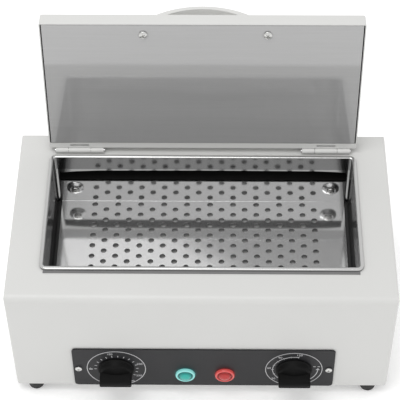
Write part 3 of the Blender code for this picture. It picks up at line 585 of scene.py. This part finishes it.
def middle(node):
    low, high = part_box(node)
    return (low + high) / 2


# Geometry Nodes tools

def startTree(name, inputs):
    tree = bpy.data.node_groups.new(name, "GeometryNodeTree")
    tree.interface.new_socket("Geometry", in_out="OUTPUT", socket_type="NodeSocketGeometry")
    names = {}
    for label, kind in {"Geometry": "Geometry", **inputs}.items():
        socket = tree.interface.new_socket(label, in_out="INPUT", socket_type="NodeSocket" + kind)
        names[label] = socket.identifier
    board = Board(tree)
    entry = tree.nodes.new("NodeGroupInput")
    wires = {label: Wire(board, entry.outputs[label]) for label in names}
    return tree, board, wires, names


def endTree(board, geometry, finish):
    real = board.node("GeometryNodeRealizeInstances", sockets={"Geometry": geometry})
    dressed = board.node("GeometryNodeSetMaterial", sockets={"Geometry": real, "Material": finish})
    exit = board.tree.nodes.new("NodeGroupOutput")
    board.feed(exit.inputs["Geometry"], dressed)


def runTree(name, tree, names, values, mesh=None):
    carrier = place(name + "Carrier", mesh or bpy.data.meshes.new(name + "Base"))
    modifier = carrier.modifiers.new("nodes", "NODES")
    modifier.node_group = tree
    for label, value in values.items():
        modifier[names[label]] = value
    made = settled(carrier, name)
    bpy.data.objects.remove(carrier)
    return made


# Casing, base and feet

casingValues = {"edge": 0.35, "baseEdge": 0.3}
# foot profile: (radius, height) from the recess round the ring, then (radius, drop from the top)
footValues = {
    "segments": 40,
    "ring": ((0, 4.2), (3.6, 4.2), (4, 3.8), (4, 0.4), (4.4, 0), (6.7, 0), (7.3, 0.3), (7.8, 1.5)),
    "collar": ((8.8, 3), (8.95, 2.2), (8.95, 0.5), (8.6, 0), (0, 0)),
}
refined("casing_shell", "white_paint", "casing", casingValues["edge"])
refined("base_plate", "zinc_steel", "casing", casingValues["baseEdge"])
for end in ("front", "rear"):
    for side in ("left", "right"):
        node = f"foot_{end}_{side}"
        low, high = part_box(node)
        spot = Vector(((low.x + high.x) / 2, (low.y + high.y) / 2, low.z))
        top = high.z - low.z
        profile = [(radius * mm, height * mm) for radius, height in footValues["ring"]]
        profile += [(radius * mm, top - drop * mm) for radius, drop in footValues["collar"]]
        piece(node + "_rubber", meshFrom(node, lathe(profile, spot, (0, 0, 1), footValues["segments"])),
              "black_rubber", "casing", [node])
print("casing, base and feet made")


# Chamber tank: a pressed cup whose rim is rolled outwards

tankValues = {"wall": 1.0, "rimHeight": 2.7, "roll": 1.25, "corner": 3.0, "floorBend": 2.0, "slotInset": 2.0,
              "studRadius": 1.9, "threads": 14}


def tankMesh():
    wall, roll, corner = (tankValues[key] * mm for key in ("wall", "roll", "corner"))
    left, right = tankLow.x + rimWidth, tankHigh.x - rimWidth
    near, far = tankLow.y + rimWidth, tankHigh.y - rimWidth
    top, under = tankHigh.z, tankHigh.z - tankValues["rimHeight"] * mm
    floor = trayLow.z - 0.3 * mm
    bend = tankValues["floorBend"] * mm
    # (distance outside the mouth, height), up the outside, over the rim and down the inside
    profile = [(-bend, floor - wall), (wall - 0.6 * mm, floor - wall + 0.2 * mm), (wall, floor - wall + bend),
               (wall, under)]
    profile += arc(rimWidth - roll * 0.5, under + roll * 0.5, roll * 0.5, -1, 0, 3)
    profile += arc(rimWidth - roll, top - roll, roll, 0, 1, 6)
    profile += arc(roll, top - roll, roll, 1, 2, 6)
    profile += arc(-bend, floor + bend, bend, 0, -1, 4)
    rings = []
    for out, height in profile:
        turn = max(corner + out, 0.4 * mm)
        ring = roundedRectangle(left - out, right + out, near - out, far + out, turn, 8)
        rings.append([(x, y, height) for x, y in ring])
    return meshFrom("tank", join(rings))


def slotCutter():
    low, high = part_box("air_channel")
    inset = tankValues["slotInset"] * mm
    left, right, bottom, top = low.x + inset, high.x - inset, low.z + inset, high.z - inset
    bow = [(left, bottom), (right, bottom), (right, top - 3 * mm), (right - 12 * mm, top - 1.5 * mm),
           (right - 30 * mm, top - 0.6 * mm), ((left + right) / 2, top), (left + 40 * mm, top - 0.6 * mm),
           (left + 16 * mm, top - 2 * mm), (left, top - 4 * mm)]
    wallY = tankHigh.y - rimWidth
    return meshFrom("slot", pushed(bow, wallY - 4 * mm, wallY + 4 * mm, "Y"))


piece("tank_pressed", cutAway(tankMesh(), "tank", [slotCutter()]), "polished_steel", "casing",
      ["chamber_tank"], 50)
for side in ("left", "right"):
    spot = middle(f"heater_nut_{side}")
    radius = tankValues["studRadius"] * mm
    length = trayLow.z - tankLow.z - 1.6 * mm
    profile = [(0, 0), (radius - 0.4 * mm, 0), (radius, 0.5 * mm)]
    for i in range(tankValues["threads"]):
        height = 0.7 * mm + (length - 1 * mm) * i / tankValues["threads"]
        profile += [(radius, height), (radius - 0.25 * mm, height + 0.3 * mm)]
    profile += [(radius, length), (0, length)]
    stud = lathe(profile, Vector((spot.x, spot.y, tankLow.z)), (0, 0, 1), 20)
    piece(f"tank_stud_{side}", meshFrom("stud", stud), "zinc_steel", "casing")

# painted shade: a grey strip laid along the front of the rim, standing in for the dark line of shade under the
# rim
rimShadeStripValues = {"deep": 3.0, "tall": 0.9, "inset": 4.0, "round": 0.4, "gap": 0.05, "lift": 0.02}
rimShadeStripLow = tankLow.y - rimShadeStripValues["deep"] * mm
strip = roundedRectangle(rimShadeStripLow, tankLow.y - rimShadeStripValues["gap"] * mm, caseHigh.z + rimShadeStripValues["lift"] * mm,
                         caseHigh.z + rimShadeStripValues["tall"] * mm, rimShadeStripValues["round"] * mm, 4)
strip = pushed(strip, tankLow.x + rimShadeStripValues["inset"] * mm, tankHigh.x - rimShadeStripValues["inset"] * mm, "X")
piece("rim_seal", meshFrom("seal", strip), "rim_shade_strip_grey", "casing")
print("tank made")


# Perforated tray: a bent sheet, drilled by a node tree

def bentSheet(points, bend, sheet):  # an open line with round bends, made solid on its right-hand side
    line = [Vector(points[0])]
    for before, here, after in zip(points, points[1:], points[2:]):
        here = Vector(here)
        back = (Vector(before) - here).normalized()
        on = (Vector(after) - here).normalized()
        for i in range(7):
            t = i / 6
            line.append(here + back * bend * (1 - t) ** 2 + on * bend * t**2)
    line.append(Vector(points[-1]))
    sides = []
    for i, here in enumerate(line):
        along = (line[min(i + 1, len(line) - 1)] - line[max(i - 1, 0)]).normalized()
        sides.append(here + Vector((along.y, -along.x)) * sheet)
    return [tuple(p) for p in line] + [tuple(p) for p in reversed(sides)]


def perforationTree():
    tree, board, wires, names = startTree("perforations", {
        "Rows": "Int", "Per row": "Int", "Row step": "Float", "Column step": "Float", "Radius": "Float",
        "Sides": "Int", "Depth": "Float", "First X": "Float", "First Y": "Float", "Level": "Float",
        "Finish": "Material"})
    index = board.node("GeometryNodeInputIndex")
    row = index // wires["Per row"]
    column = index - row * wires["Per row"]
    x = wires["First X"] + (column * 2 + row % 2) * wires["Column step"]
    y = wires["First Y"] - row * wires["Row step"]
    spots = board.node("ShaderNodeCombineXYZ", sockets={"X": x, "Y": y, "Z": wires["Level"]})
    points = board.node("GeometryNodePoints", sockets={
        "Count": wires["Rows"] * wires["Per row"], "Position": spots})
    drill = board.node("GeometryNodeMeshCylinder", sockets={
        "Vertices": wires["Sides"], "Radius": wires["Radius"], "Depth": wires["Depth"]})
    drills = board.node("GeometryNodeInstanceOnPoints", sockets={"Points": points, "Instance": drill})
    real = board.node("GeometryNodeRealizeInstances", sockets={"Geometry": drills})
    drilled = board.node("GeometryNodeMeshBoolean", {"operation": "DIFFERENCE", "solver": "EXACT"},
                         {"Mesh 1": wires["Geometry"], "Mesh 2": real})
    endTree(board, drilled, wires["Finish"])
    return tree, names


def trayMesh():
    sheet, bend = trayValues["sheet"] * mm, trayValues["bend"] * mm
    drop = trayTop - trayValues["flangeDrop"] * mm
    top = trayHigh.z
    line = [(trayLow.y, drop), (trayLow.y, trayTop), (trayHigh.y - sheet, trayTop), (trayHigh.y - sheet, top)]
    section = bentSheet(line, bend, sheet)
    return meshFrom("tray", pushed(section, trayLow.x, trayHigh.x, "X"))


tree, names = perforationTree()
firstX = trayValues["middleX"] * mm - (trayValues["columns"] - 1) / 2 * trayValues["columnStep"] * mm
drilled = runTree("tray", tree, names, {
    "Rows": trayValues["rows"], "Per row": trayValues["columns"] // 2, "Row step": trayValues["rowStep"] * mm,
    "Column step": trayValues["columnStep"] * mm, "Radius": trayValues["holeRadius"] * mm,
    "Sides": trayValues["holeSides"], "Depth": trayValues["drill"] * mm, "First X": firstX,
    "First Y": trayHigh.y - trayValues["firstRow"] * mm, "Level": trayTop, "Finish": finishes["tray_steel"],
}, trayMesh())
piece("tray_drilled", drilled, "tray_steel", "casing", ["perforated_tray"], 30)
for side, x in (("left", trayLow.x), ("right", trayHigh.x)):
    way = 1 if side == "left" else -1
    drop = trayTop - trayValues["flangeDrop"] * mm
    inset = trayValues["plateInset"] * mm
    plate = roundedRectangle(trayLow.y + inset, trayHigh.y - inset, drop, trayTop - 1.2 * mm,
                             trayValues["plateRound"] * mm, 4)
    edges = sorted((x + way * 0.1 * mm, x + way * 1.1 * mm))
    flange = softened("flange", meshFrom("flange", pushed(plate, *edges, "X")), 0.25 * mm, 2)
    piece(f"tray_flange_{side}", flange, "tray_steel", "casing")

# washer profile: (distance in from the edge, height), then the height of its middle
washerValues = {"segments": 56, "middle": 2.8, "profile": (
    (0.25, 0), (0, 0.25), (0, 0.6), (0.3, 0.95), (1.0, 1.25), (2.2, 2.5), (3.2, 2.95), (4.0, 3.0),
    (4.6, 2.8))}
for side in ("left", "right"):
    node = f"tray_washer_{side}"
    low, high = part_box(node)
    radius = (high.x - low.x) / 2
    spot = Vector(((low.x + high.x) / 2, high.y, (low.z + high.z) / 2))
    profile = [(radius - inset * mm, height * mm) for inset, height in washerValues["profile"]]
    profile = [(0, 0), *profile, (0, washerValues["middle"] * mm)]
    piece(node + "_dished", meshFrom(node, lathe(profile, spot, (0, -1, 0), washerValues["segments"])),
          "satin_steel", "casing", [node], 50)
print("tray made")


# Cross-head screws: one node tree sets a turned head on each place

# in shares of the head's radius
screwValues = {"segments": 28, "height": 0.52, "recess": 0.34, "arm": 0.56, "armWidth": 0.13, "armTaper": 0.7,
               "shank": 0.42, "reach": 1.1, "seat": 0.97}


def screwHead():
    height = screwValues["height"]
    shank, reach = screwValues["shank"], screwValues["reach"]
    profile = [(0, -reach), (shank, -reach), (shank, 0), (screwValues["seat"], 0), (1.0, 0.04),
               (1.0, height * 0.42)]
    profile += [(cos(t), height * (0.42 + 0.58 * sin(t))) for t in [pi / 2 * i / 7 for i in range(1, 7)]]
    profile.append((0, height))
    head = meshFrom("screwHead", lathe(profile, (0, 0, 0), (0, 0, 1), screwValues["segments"]))
    arm, thin, taper = (screwValues[key] for key in ("arm", "armWidth", "armTaper"))
    deep = height - screwValues["recess"]
    cutters = []
    for wide, narrow in ((arm, thin), (thin, arm)):
        mouth = roundedRectangle(-wide, wide, -narrow, narrow, 0.04, 2)
        foot = roundedRectangle(-wide * taper, wide * taper, -narrow * taper, narrow * taper, 0.03, 2)
        rings = [[(x, y, deep) for x, y in foot], [(x, y, 1.2) for x, y in mouth]]
        cutters.append(meshFrom("recess", join(rings)))
    return place("screwHead", cutAway(head, "screwHead", cutters))


def screwTree():
    tree, board, wires, names = startTree("screws", {"Head": "Object", "Finish": "Material"})
    head = board.node("GeometryNodeObjectInfo", sockets={"Object": wires["Head"]}, out="Geometry")
    turn = board.node("GeometryNodeInputNamedAttribute", {"data_type": "FLOAT_VECTOR"}, {"Name": "turn"})
    size = board.node("GeometryNodeInputNamedAttribute", {"data_type": "FLOAT"}, {"Name": "size"})
    points = board.node("GeometryNodeMeshToPoints", sockets={"Mesh": wires["Geometry"]})
    heads = board.node("GeometryNodeInstanceOnPoints",
                       sockets={"Points": points, "Instance": head, "Rotation": turn, "Scale": size})
    endTree(board, heads, wires["Finish"])
    return tree, names


def screwMesh(name, places, tree, names, head):  # places hold (middle of the seat, facing, radius, turn)
    mesh = bpy.data.meshes.new(name)
    mesh.from_pydata([tuple(spot) for spot, *_ in places], [], [])
    mesh.attributes.new("turn", "FLOAT_VECTOR", "POINT")
    mesh.attributes.new("size", "FLOAT", "POINT")
    turns, sizes = mesh.attributes["turn"].data, mesh.attributes["size"].data
    for i, (_, facing, radius, share) in enumerate(places):  # share is in quarter turns
        turned = facing.to_track_quat("Z", "Y") @ Matrix.Rotation(share * pi / 2, 3, "Z").to_quaternion()
        turns[i].vector = tuple(turned.to_euler())
        sizes[i].value = radius
    return runTree(name, tree, names, {"Head": head, "Finish": finishes["zinc_steel"]}, mesh)


def headPlace(node, facing, radius, rise, share, frameTurn=None):
    # the middle of the head's seat, found from the end of the node's box that faces out
    inverse = frameTurn.inverted() if frameTurn else Matrix.Identity(4)
    points = [inverse @ vertex.co for vertex in frame["nodes"][node].data.vertices]
    low = Vector([min(p[i] for p in points) for i in range(3)])
    high = Vector([max(p[i] for p in points) for i in range(3)])
    spot = (low + high) / 2
    axis = max(range(3), key=lambda i: abs(facing[i]))
    spot[axis] = (high if facing[axis] > 0 else low)[axis] - facing[axis] * rise * mm
    turned = (frameTurn.to_3x3() @ facing).normalized() if frameTurn else facing
    return ((frameTurn @ spot) if frameTurn else spot, turned, radius * mm, share)


frontWay, backWay, downWay = Vector((0, -1, 0)), Vector((0, 1, 0)), Vector((0, 0, -1))
outWay = {"left": Vector((-1, 0, 0)), "right": Vector((1, 0, 0))}
# node, facing (None is outwards), head radius, rise above the seat, turns of the left and the right one
casingScrewRows = (
    ("panel_screw", frontWay, 3.4, 2.0, (0.9, 0.15)), ("tray_screw", frontWay, 4.0, 2.4, (0.3, 0.7)),
    ("inlet_screw", backWay, 2.9, 2.0, (0.2, 0.7)), ("base_screw_front", None, 3.0, 2.0, (0.4, 0.4)),
    ("base_screw_rear", None, 3.0, 2.0, (0.75, 0.75)), ("foot_screw_front", downWay, 3.2, 2.0, (0.1, 0.1)),
    ("foot_screw_rear", downWay, 3.2, 2.0, (0.55, 0.55)),
)
handleScrew = {"radius": 4.1, "rise": 2.35, "turns": (0.35, 0.55)}
casingScrews, lidScrews, usedOnCasing, usedOnLid = [], [], [], []
for count, side in enumerate(("left", "right")):
    for stem, facing, radius, rise, turns in casingScrewRows:
        node = f"{stem}_{side}"
        casingScrews.append(headPlace(node, facing or outWay[side], radius, rise * 0.98, turns[count]))
        usedOnCasing.append(node)
    node = "handle_screw_" + side
    turn = handleScrew["turns"][count]
    lidScrews.append(headPlace(node, downWay, handleScrew["radius"], handleScrew["rise"], turn, lidTurn))
    usedOnLid.append(node)
tree, names = screwTree()
head = screwHead()
for body, places, used in (("casing", casingScrews, usedOnCasing), ("lid", lidScrews, usedOnLid)):
    made = screwMesh(body + "Screws", places, tree, names, head)
    piece(body + "_screws", made, "zinc_steel", body, used, 35)
bpy.data.objects.remove(head)
print("screws set:", len(casingScrews) + len(lidScrews))


# Lid, handle and hinges

lidValues = {"edge": 0.3, "linerEdge": 0.45, "handleEdge": 1.7, "hingeEdge": 0.25}
refined("lid_shell", "white_paint", "lid", lidValues["edge"])
refined("lid_liner", "liner_steel", "lid", lidValues["linerEdge"])
refined("lid_handle", "white_plastic", "lid", lidValues["handleEdge"], segments=4, angle=50)
for side in ("left", "right"):
    refined(f"hinge_case_leaf_{side}", "white_paint", "casing", lidValues["hingeEdge"])
    refined(f"hinge_lid_leaf_{side}", "white_paint", "lid", lidValues["hingeEdge"])
    node = f"hinge_pin_{side}"
    low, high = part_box(node)
    radius, length = (high.z - low.z) / 2, high.x - low.x
    start = [(0, 0), (radius * 0.6, 0), (radius * 0.9, 0.25 * mm), (radius, 0.6 * mm)]
    profile = start + [(out, length - along) for out, along in reversed(start)]
    spot = Vector((low.x, (low.y + high.y) / 2, (low.z + high.z) / 2))
    pin = meshFrom(node, lathe(profile, spot, (1, 0, 0), 24))
    piece(node + "_turned", pin, "satin_steel", "casing", [node])
print("lid made")


# Control panel, knobs and lamps

panelEdges = {"plate": 0.35}
refined("control_panel", "black_panel", "casing", panelEdges["plate"])
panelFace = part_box("control_panel")[0].y

# knob profile: the skirt with its flare and shoulder in (radius, height), then the grip that stands on it
knobValues = {
    "profile": ((0, 0), (17.3, 0), (17.8, 0.4), (17.8, 1.3), (17.3, 1.9), (16.9, 2.3), (15.9, 5.8), (15.5, 6.8),
                (14.7, 7.35), (13.8, 7.5), (6, 9.6), (0, 10.0)),
    "gripStart": 5.4, "gripHalf": 15.7, "gripRoot": 4.2, "gripEdge": 3.0, "corner": 1.6, "round": 1.1,
    "dashInset": 1.4, "dashLength": 8.2, "dashWidth": 1.3, "dashDrop": 0.9,
}


def knobMeshes(kind, dashWay):
    low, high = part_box(kind + "_knob")
    centre = Vector(((low.x + high.x) / 2, high.y, (low.z + high.z) / 2))
    reach = centre.y - low.y
    profile = [(radius * mm, height * mm) for radius, height in knobValues["profile"]]
    body = lathe(profile, centre, (0, -1, 0), 64)
    start, half = knobValues["gripStart"] * mm, knobValues["gripHalf"] * mm
    root, edge = knobValues["gripRoot"] * mm, knobValues["gripEdge"] * mm
    corner, soft = knobValues["corner"] * mm, knobValues["round"] * mm
    rings = []
    for i in range(9):  # the grip's straight flanks
        t = i / 8
        out = start + (reach - soft - start) * t
        thick = root + (edge - root) * t
        ring = roundedRectangle(-half, half, -thick, thick, corner, 5)
        rings.append([(centre.x + x, centre.y - out, centre.z + z) for x, z in ring])
    for i in range(1, 5):  # its rounded end
        t = i / 4 * pi / 2
        out = reach - soft + soft * sin(t)
        shrink = soft * (1 - cos(t))
        ring = roundedRectangle(-half + shrink, half - shrink, -edge + shrink, edge - shrink,
                                max(corner - shrink, 0.4 * mm), 5)
        rings.append([(centre.x + x, centre.y - out, centre.z + z) for x, z in ring])
    knob = joined(kind + "Knob", [meshFrom("part", shape) for shape in (body, join(rings))])
    start = centre.x + dashWay * (half - knobValues["dashInset"] * mm)
    ends = sorted((start, start - dashWay * knobValues["dashLength"] * mm))
    dashZ, tall = centre.z - knobValues["dashDrop"] * mm, knobValues["dashWidth"] * mm / 2
    dash = roundedRectangle(*ends, dashZ - tall, dashZ + tall, 0.4 * mm, 4)
    face = centre.y - reach
    return knob, meshFrom(kind + "Dash", pushed(dash, face + 0.01 * mm, face + 0.5 * mm, "Y"))


dialCentres = {}
for kind, dashWay in (("temperature", -1), ("timer", 1)):
    knob, dash = knobMeshes(kind, dashWay)
    piece(f"{kind}_knob_moulded", knob, "black_plastic", f"{kind}_control", [f"{kind}_knob"], 38)
    piece(f"{kind}_pointer", dash, "print", f"{kind}_control")
    spot = middle(f"{kind}_knob")
    dialCentres[kind] = Vector((spot.x, panelFace, spot.z))

# lens profile: the bezel in (distance in from the edge, height), then a dome
lampValues = {"stem": 5.9, "domeBase": 2.5, "domeShare": 0.66, "bezel": (
    (0.3, 0.3), (0, 0.7), (0, 2.3), (0.35, 3.1), (0.9, 3.55), (1.5, 3.6), (1.9, 3.3), (2.3, 2.5), (3.0, 2.4))}
for name in lampTints:
    node = name + "_lamp_lens"
    low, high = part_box(node)
    centre = Vector((lampCentres[name].x, panelFace, lampCentres[name].z))
    radius = (high.x - low.x) / 2
    rise = panelFace - low.y
    stem = high.y - panelFace
    profile = [(0, -stem), (lampValues["stem"] * mm, -stem), (lampValues["stem"] * mm, 0.3 * mm)]
    profile += [(radius - inset * mm, height * mm) for inset, height in lampValues["bezel"]]
    dome = [pi / 2 * i / 8 for i in range(1, 9)]
    base = lampValues["domeBase"] * mm
    profile += [(radius * lampValues["domeShare"] * cos(t), base + (rise - base) * sin(t)) for t in dome]
    lens = meshFrom(node, lathe(profile, centre, (0, -1, 0), 56))
    piece(node + "_moulded", lens, name + "_lens", "casing", [node], 50)
print("panel, knobs and lamps made")


# Dial print: rings and ticks from a node tree, numbers from text

# sizes in mm, angles in degrees from three o'clock; numbers hold (text, angle, radius)
dialValues = {
    "temperature": {
        "ring": 28.8, "line": 0.75, "ticks": 15, "tickStart": 182, "tickSweep": -230, "tickRadius": 20.6,
        "tickLength": 2.4, "innerRadius": 25.2, "innerStart": 181, "innerSweep": 3.5, "innerLine": 3.4,
        "numbers": (("0", 181, 25.6), ("100", 103, 25.0), ("200", 19, 24.6), ("250", -29, 25.2),
                    ("300", -57, 26.0))},
    "timer": {
        "ring": 27.8, "line": 0.7, "ticks": 8, "tickStart": 222, "tickSweep": -143, "tickRadius": 21.0,
        "tickLength": 2.2, "innerRadius": 21.0, "innerStart": 80, "innerSweep": 141, "innerLine": 0.7,
        "numbers": (("30", 219, 25.4), ("60", 175, 24.6), ("90", 125, 24.4), ("120", 79, 24.6))},
}
# the timer's off mark: two dashes, and an arrow that bows down from it
offMark = {"dashes": ((18.8, 21.2), (23.0, 25.4)), "low": 4.6, "high": 5.5, "round": 0.2, "bowOut": 23.9,
           "bowIn": 23.1, "bowTurn": -0.56, "tip": ((21.4, -0.6), (25.4, -0.6), (23.6, 2.4))}
printDepth = 0.12 * mm
numberHeight = 4.0 * mm


def dialTree():
    tree, board, wires, names = startTree("dial print", {
        "Ring": "Float", "Line": "Float", "Depth": "Float", "Ticks": "Int", "Tick start": "Float",
        "Tick sweep": "Float", "Tick radius": "Float", "Tick length": "Float", "Inner radius": "Float",
        "Inner start": "Float", "Inner sweep": "Float", "Inner line": "Float", "Finish": "Material"})

    def band(radius, start, sweep, line, count):
        bow = board.node("GeometryNodeCurveArc", {"mode": "RADIUS"},
                         {"Resolution": count, "Radius": radius, "Start Angle": start, "Sweep Angle": sweep})
        strip = board.node("GeometryNodeCurvePrimitiveQuadrilateral", sockets={
            "Width": line, "Height": wires["Depth"]})
        return board.node("GeometryNodeCurveToMesh", sockets={
            "Curve": bow, "Profile Curve": strip, "Fill Caps": True})

    index = board.node("GeometryNodeInputIndex")
    angle = wires["Tick start"] + wires["Tick sweep"] * (index / (wires["Ticks"] - 1))
    east = board.node("ShaderNodeMath", {"operation": "COSINE"}, {0: angle}) * wires["Tick radius"]
    north = board.node("ShaderNodeMath", {"operation": "SINE"}, {0: angle}) * wires["Tick radius"]
    spots = board.node("ShaderNodeCombineXYZ", sockets={"X": east, "Y": north})
    points = board.node("GeometryNodePoints", sockets={"Count": wires["Ticks"], "Position": spots})
    size = board.node("ShaderNodeCombineXYZ", sockets={
        "X": wires["Tick length"], "Y": wires["Line"], "Z": wires["Depth"]})
    bar = board.node("GeometryNodeMeshCube", sockets={"Size": size})
    turn = board.node("ShaderNodeCombineXYZ", sockets={"Z": angle})
    ticks = board.node("GeometryNodeInstanceOnPoints", sockets={
        "Points": points, "Instance": bar, "Rotation": turn})
    ring = band(wires["Ring"], 0.0, 2 * pi - 0.002, wires["Line"], 97)
    inner = band(wires["Inner radius"], wires["Inner start"], wires["Inner sweep"], wires["Inner line"], 41)
    whole = board.node("GeometryNodeJoinGeometry", sockets={"Geometry": [ring, inner, ticks]})
    endTree(board, whole, wires["Finish"])
    return tree, names


def textMesh(words, height, depth):
    curve = bpy.data.curves.new("words", "FONT")
    curve.body = words
    curve.size = height
    curve.extrude = depth / 2
    curve.align_x = "CENTER"
    curve.align_y = "CENTER"
    curve.resolution_u = 3
    carrier = place("words", curve)
    bpy.context.view_layer.update()
    made = bpy.data.meshes.new_from_object(carrier.evaluated_get(bpy.context.evaluated_depsgraph_get()))
    bpy.data.objects.remove(carrier)
    return made


def upright(mesh, centre, slip=(0, 0)):  # from lying on XY to standing on the panel's face
    stand = Matrix.Rotation(pi / 2, 4, "X")
    mesh.transform(Matrix.Translation(centre) @ stand @ Matrix.Translation((*slip, 0)))
    return mesh


tree, names = dialTree()
for kind, values in dialValues.items():
    face = dialCentres[kind] + Vector((0, -printDepth * 0.4, 0))
    meshes = [upright(runTree(kind + "Dial", tree, names, {
        "Ring": values["ring"] * mm, "Line": values["line"] * mm, "Depth": printDepth,
        "Ticks": values["ticks"], "Tick start": radians(values["tickStart"]),
        "Tick sweep": radians(values["tickSweep"]), "Tick radius": values["tickRadius"] * mm,
        "Tick length": values["tickLength"] * mm,
        "Inner radius": values["innerRadius"] * mm, "Inner start": radians(values["innerStart"]),
        "Inner sweep": radians(values["innerSweep"]), "Inner line": values["innerLine"] * mm,
        "Finish": finishes["print"]}), face)]
    for words, angle, radius in values["numbers"]:
        turned = radians(angle)
        slip = (radius * mm * cos(turned), radius * mm * sin(turned))
        meshes.append(upright(textMesh(words, numberHeight, printDepth), face, slip))
    if kind == "timer":
        outlines = [roundedRectangle(start * mm, end * mm, offMark["low"] * mm, offMark["high"] * mm,
                                     offMark["round"] * mm, 3) for start, end in offMark["dashes"]]
        outlines.append(arc(0, 0, offMark["bowOut"] * mm, 0, offMark["bowTurn"], 14)
                        + arc(0, 0, offMark["bowIn"] * mm, offMark["bowTurn"], 0, 14))
        outlines.append([(x * mm, y * mm) for x, y in offMark["tip"]])
        for outline in outlines:
            flat = meshFrom("mark", pushed(outline, -printDepth / 2, printDepth / 2, "Z"))
            meshes.append(upright(flat, face))
    piece(f"{kind}_dial_print", joined(kind + "Print", meshes), "print", "casing", (), 30)
print("dials printed")


# Mains inlet, and what is behind the panels

inletValues = {"edge": 0.35, "pinWide": 2.3, "pinTall": 4.3, "pinBack": 14.8, "pinFront": 3.8,
               "pinEdge": 0.35, "pins": ((-7, -3.5), (0, -0.5), (7, -3.5))}
refined("mains_inlet", "black_plastic", "casing", inletValues["edge"])
inletMiddle = middle("mains_inlet")
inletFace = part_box("mains_inlet")[1].y
for count, (x, z) in enumerate(inletValues["pins"]):
    wide, tall = inletValues["pinWide"] / 2 * mm, inletValues["pinTall"] / 2 * mm
    pinX, pinZ = inletMiddle.x + x * mm, inletMiddle.z + z * mm
    outline = roundedRectangle(pinX - wide, pinX + wide, pinZ - tall, pinZ + tall, 0.5 * mm, 3)
    ends = [inletFace - inletValues[key] * mm for key in ("pinBack", "pinFront")]
    bar = pushed(outline, *ends, "Y")
    pin = softened("pin", meshFrom("pin", bar), inletValues["pinEdge"] * mm, 2)
    piece(f"inlet_pin_{count + 1}", pin, "satin_steel", "casing")
hidden = {
    "blackened_steel": ["air_channel"],
    "fibre_board": ["chamber_insulation", "lid_insulation"],
    "mica": ["heater_plate"],
    "zinc_steel": ["heater_clamp", "heater_nut_left", "heater_nut_right", "temperature_nut", "timer_nut"],
    "copper": ["thermostat_bulb", "thermostat_capillary"],
    "cream_plastic": ["temperature_body", "timer_body", "green_lamp_holder", "red_lamp_holder"],
    "satin_steel": ["temperature_spindle", "timer_spindle"],
}
for finish, nodes in hidden.items():
    for node in nodes:
        shown = frame["nodes"][node]
        shown.data.materials.clear()
        shown.data.materials.append(finishes[finish])
print("inlet and inner parts finished")


# Floor, light and camera

stageValues = {
    "floor": (0.94, 0.94, 0.935, 1), "half": 6, "thick": 0.02, "glow": 0.18, "sky": 0.87,
    "lights": {"keyLight": {"spot": (-0.3, -0.2, 1.65), "size": 0.9, "power": 8.5},
               "fillLight": {"spot": (0.9, -0.9, 1.1), "size": 1.2, "power": 0.5}},
}


def makeStage():
    half = stageValues["half"]
    slab = pushed(roundedRectangle(-half, half, -half, half, 1, 8), -stageValues["thick"], 0, "Z")
    floor = place("studioFloor", meshFrom("floor", slab))
    made, board, shader, where = startFinish("studio floor", {
        "Specular IOR Level": 0.1, "Emission Color": (1, 1, 1, 1), "Emission Strength": stageValues["glow"]})
    cloud = board.noise(where, 3, detail=3)
    endFinish(board, shader, {
        "Base Color": board.mix(cloud, stageValues["floor"], colour(0.95)),
        "Roughness": 0.85 + cloud * 0.1,
    })
    floor.data.materials.append(made)
    floor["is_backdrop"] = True
    world = bpy.data.worlds.new("studio")
    scene.world = world
    world.use_nodes = True
    ground = world.node_tree.nodes["Background"]
    ground.inputs["Color"].default_value = (1, 1, 1, 1)
    ground.inputs["Strength"].default_value = stageValues["sky"]
    for name, values in stageValues["lights"].items():
        lamp = bpy.data.lights.new(name, "AREA")
        lamp.shape = "SQUARE"
        lamp.size = values["size"]
        lamp.energy = values["power"]
        holder = bpy.data.objects.new(name, lamp)
        scene.collection.objects.link(holder)
        holder.location = values["spot"]
        towards = Vector((0, 0, 0.1)) - Vector(values["spot"])
        holder.rotation_euler = towards.to_track_quat("-Z", "Y").to_euler()


viewValues = {"azimuth": 0.958, "elevation": 49.62, "distance": 1.45486, "lens": 135.62, "aimX": -1.87,
              "aimZ": 161.78, "roll": -0.481}


def makeCamera():
    azimuth, elevation, roll = (radians(viewValues[key]) for key in ("azimuth", "elevation", "roll"))
    back = Vector((sin(azimuth) * cos(elevation), -cos(azimuth) * cos(elevation), sin(elevation)))
    right = (-back).cross(Vector((0, 0, 1))).normalized()
    up = right.cross(-back)
    right, up = cos(roll) * right + sin(roll) * up, cos(roll) * up - sin(roll) * right
    aim = Vector((viewValues["aimX"] * mm, caseMiddleY, caseLow.z + viewValues["aimZ"] * mm))
    eye = bpy.data.cameras.new("camera")
    eye.sensor_width = 36
    eye.lens = viewValues["lens"]
    eye.clip_end = 50
    camera = bpy.data.objects.new("camera", eye)
    scene.collection.objects.link(camera)
    turn = Matrix((right, up, back)).transposed().to_4x4()
    camera.matrix_world = Matrix.Translation(aim + back * viewValues["distance"]) @ turn
    scene.camera = camera


makeStage()
makeCamera()
scene.view_settings.view_transform = "Standard"
print("stage, light and camera set")

low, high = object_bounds()
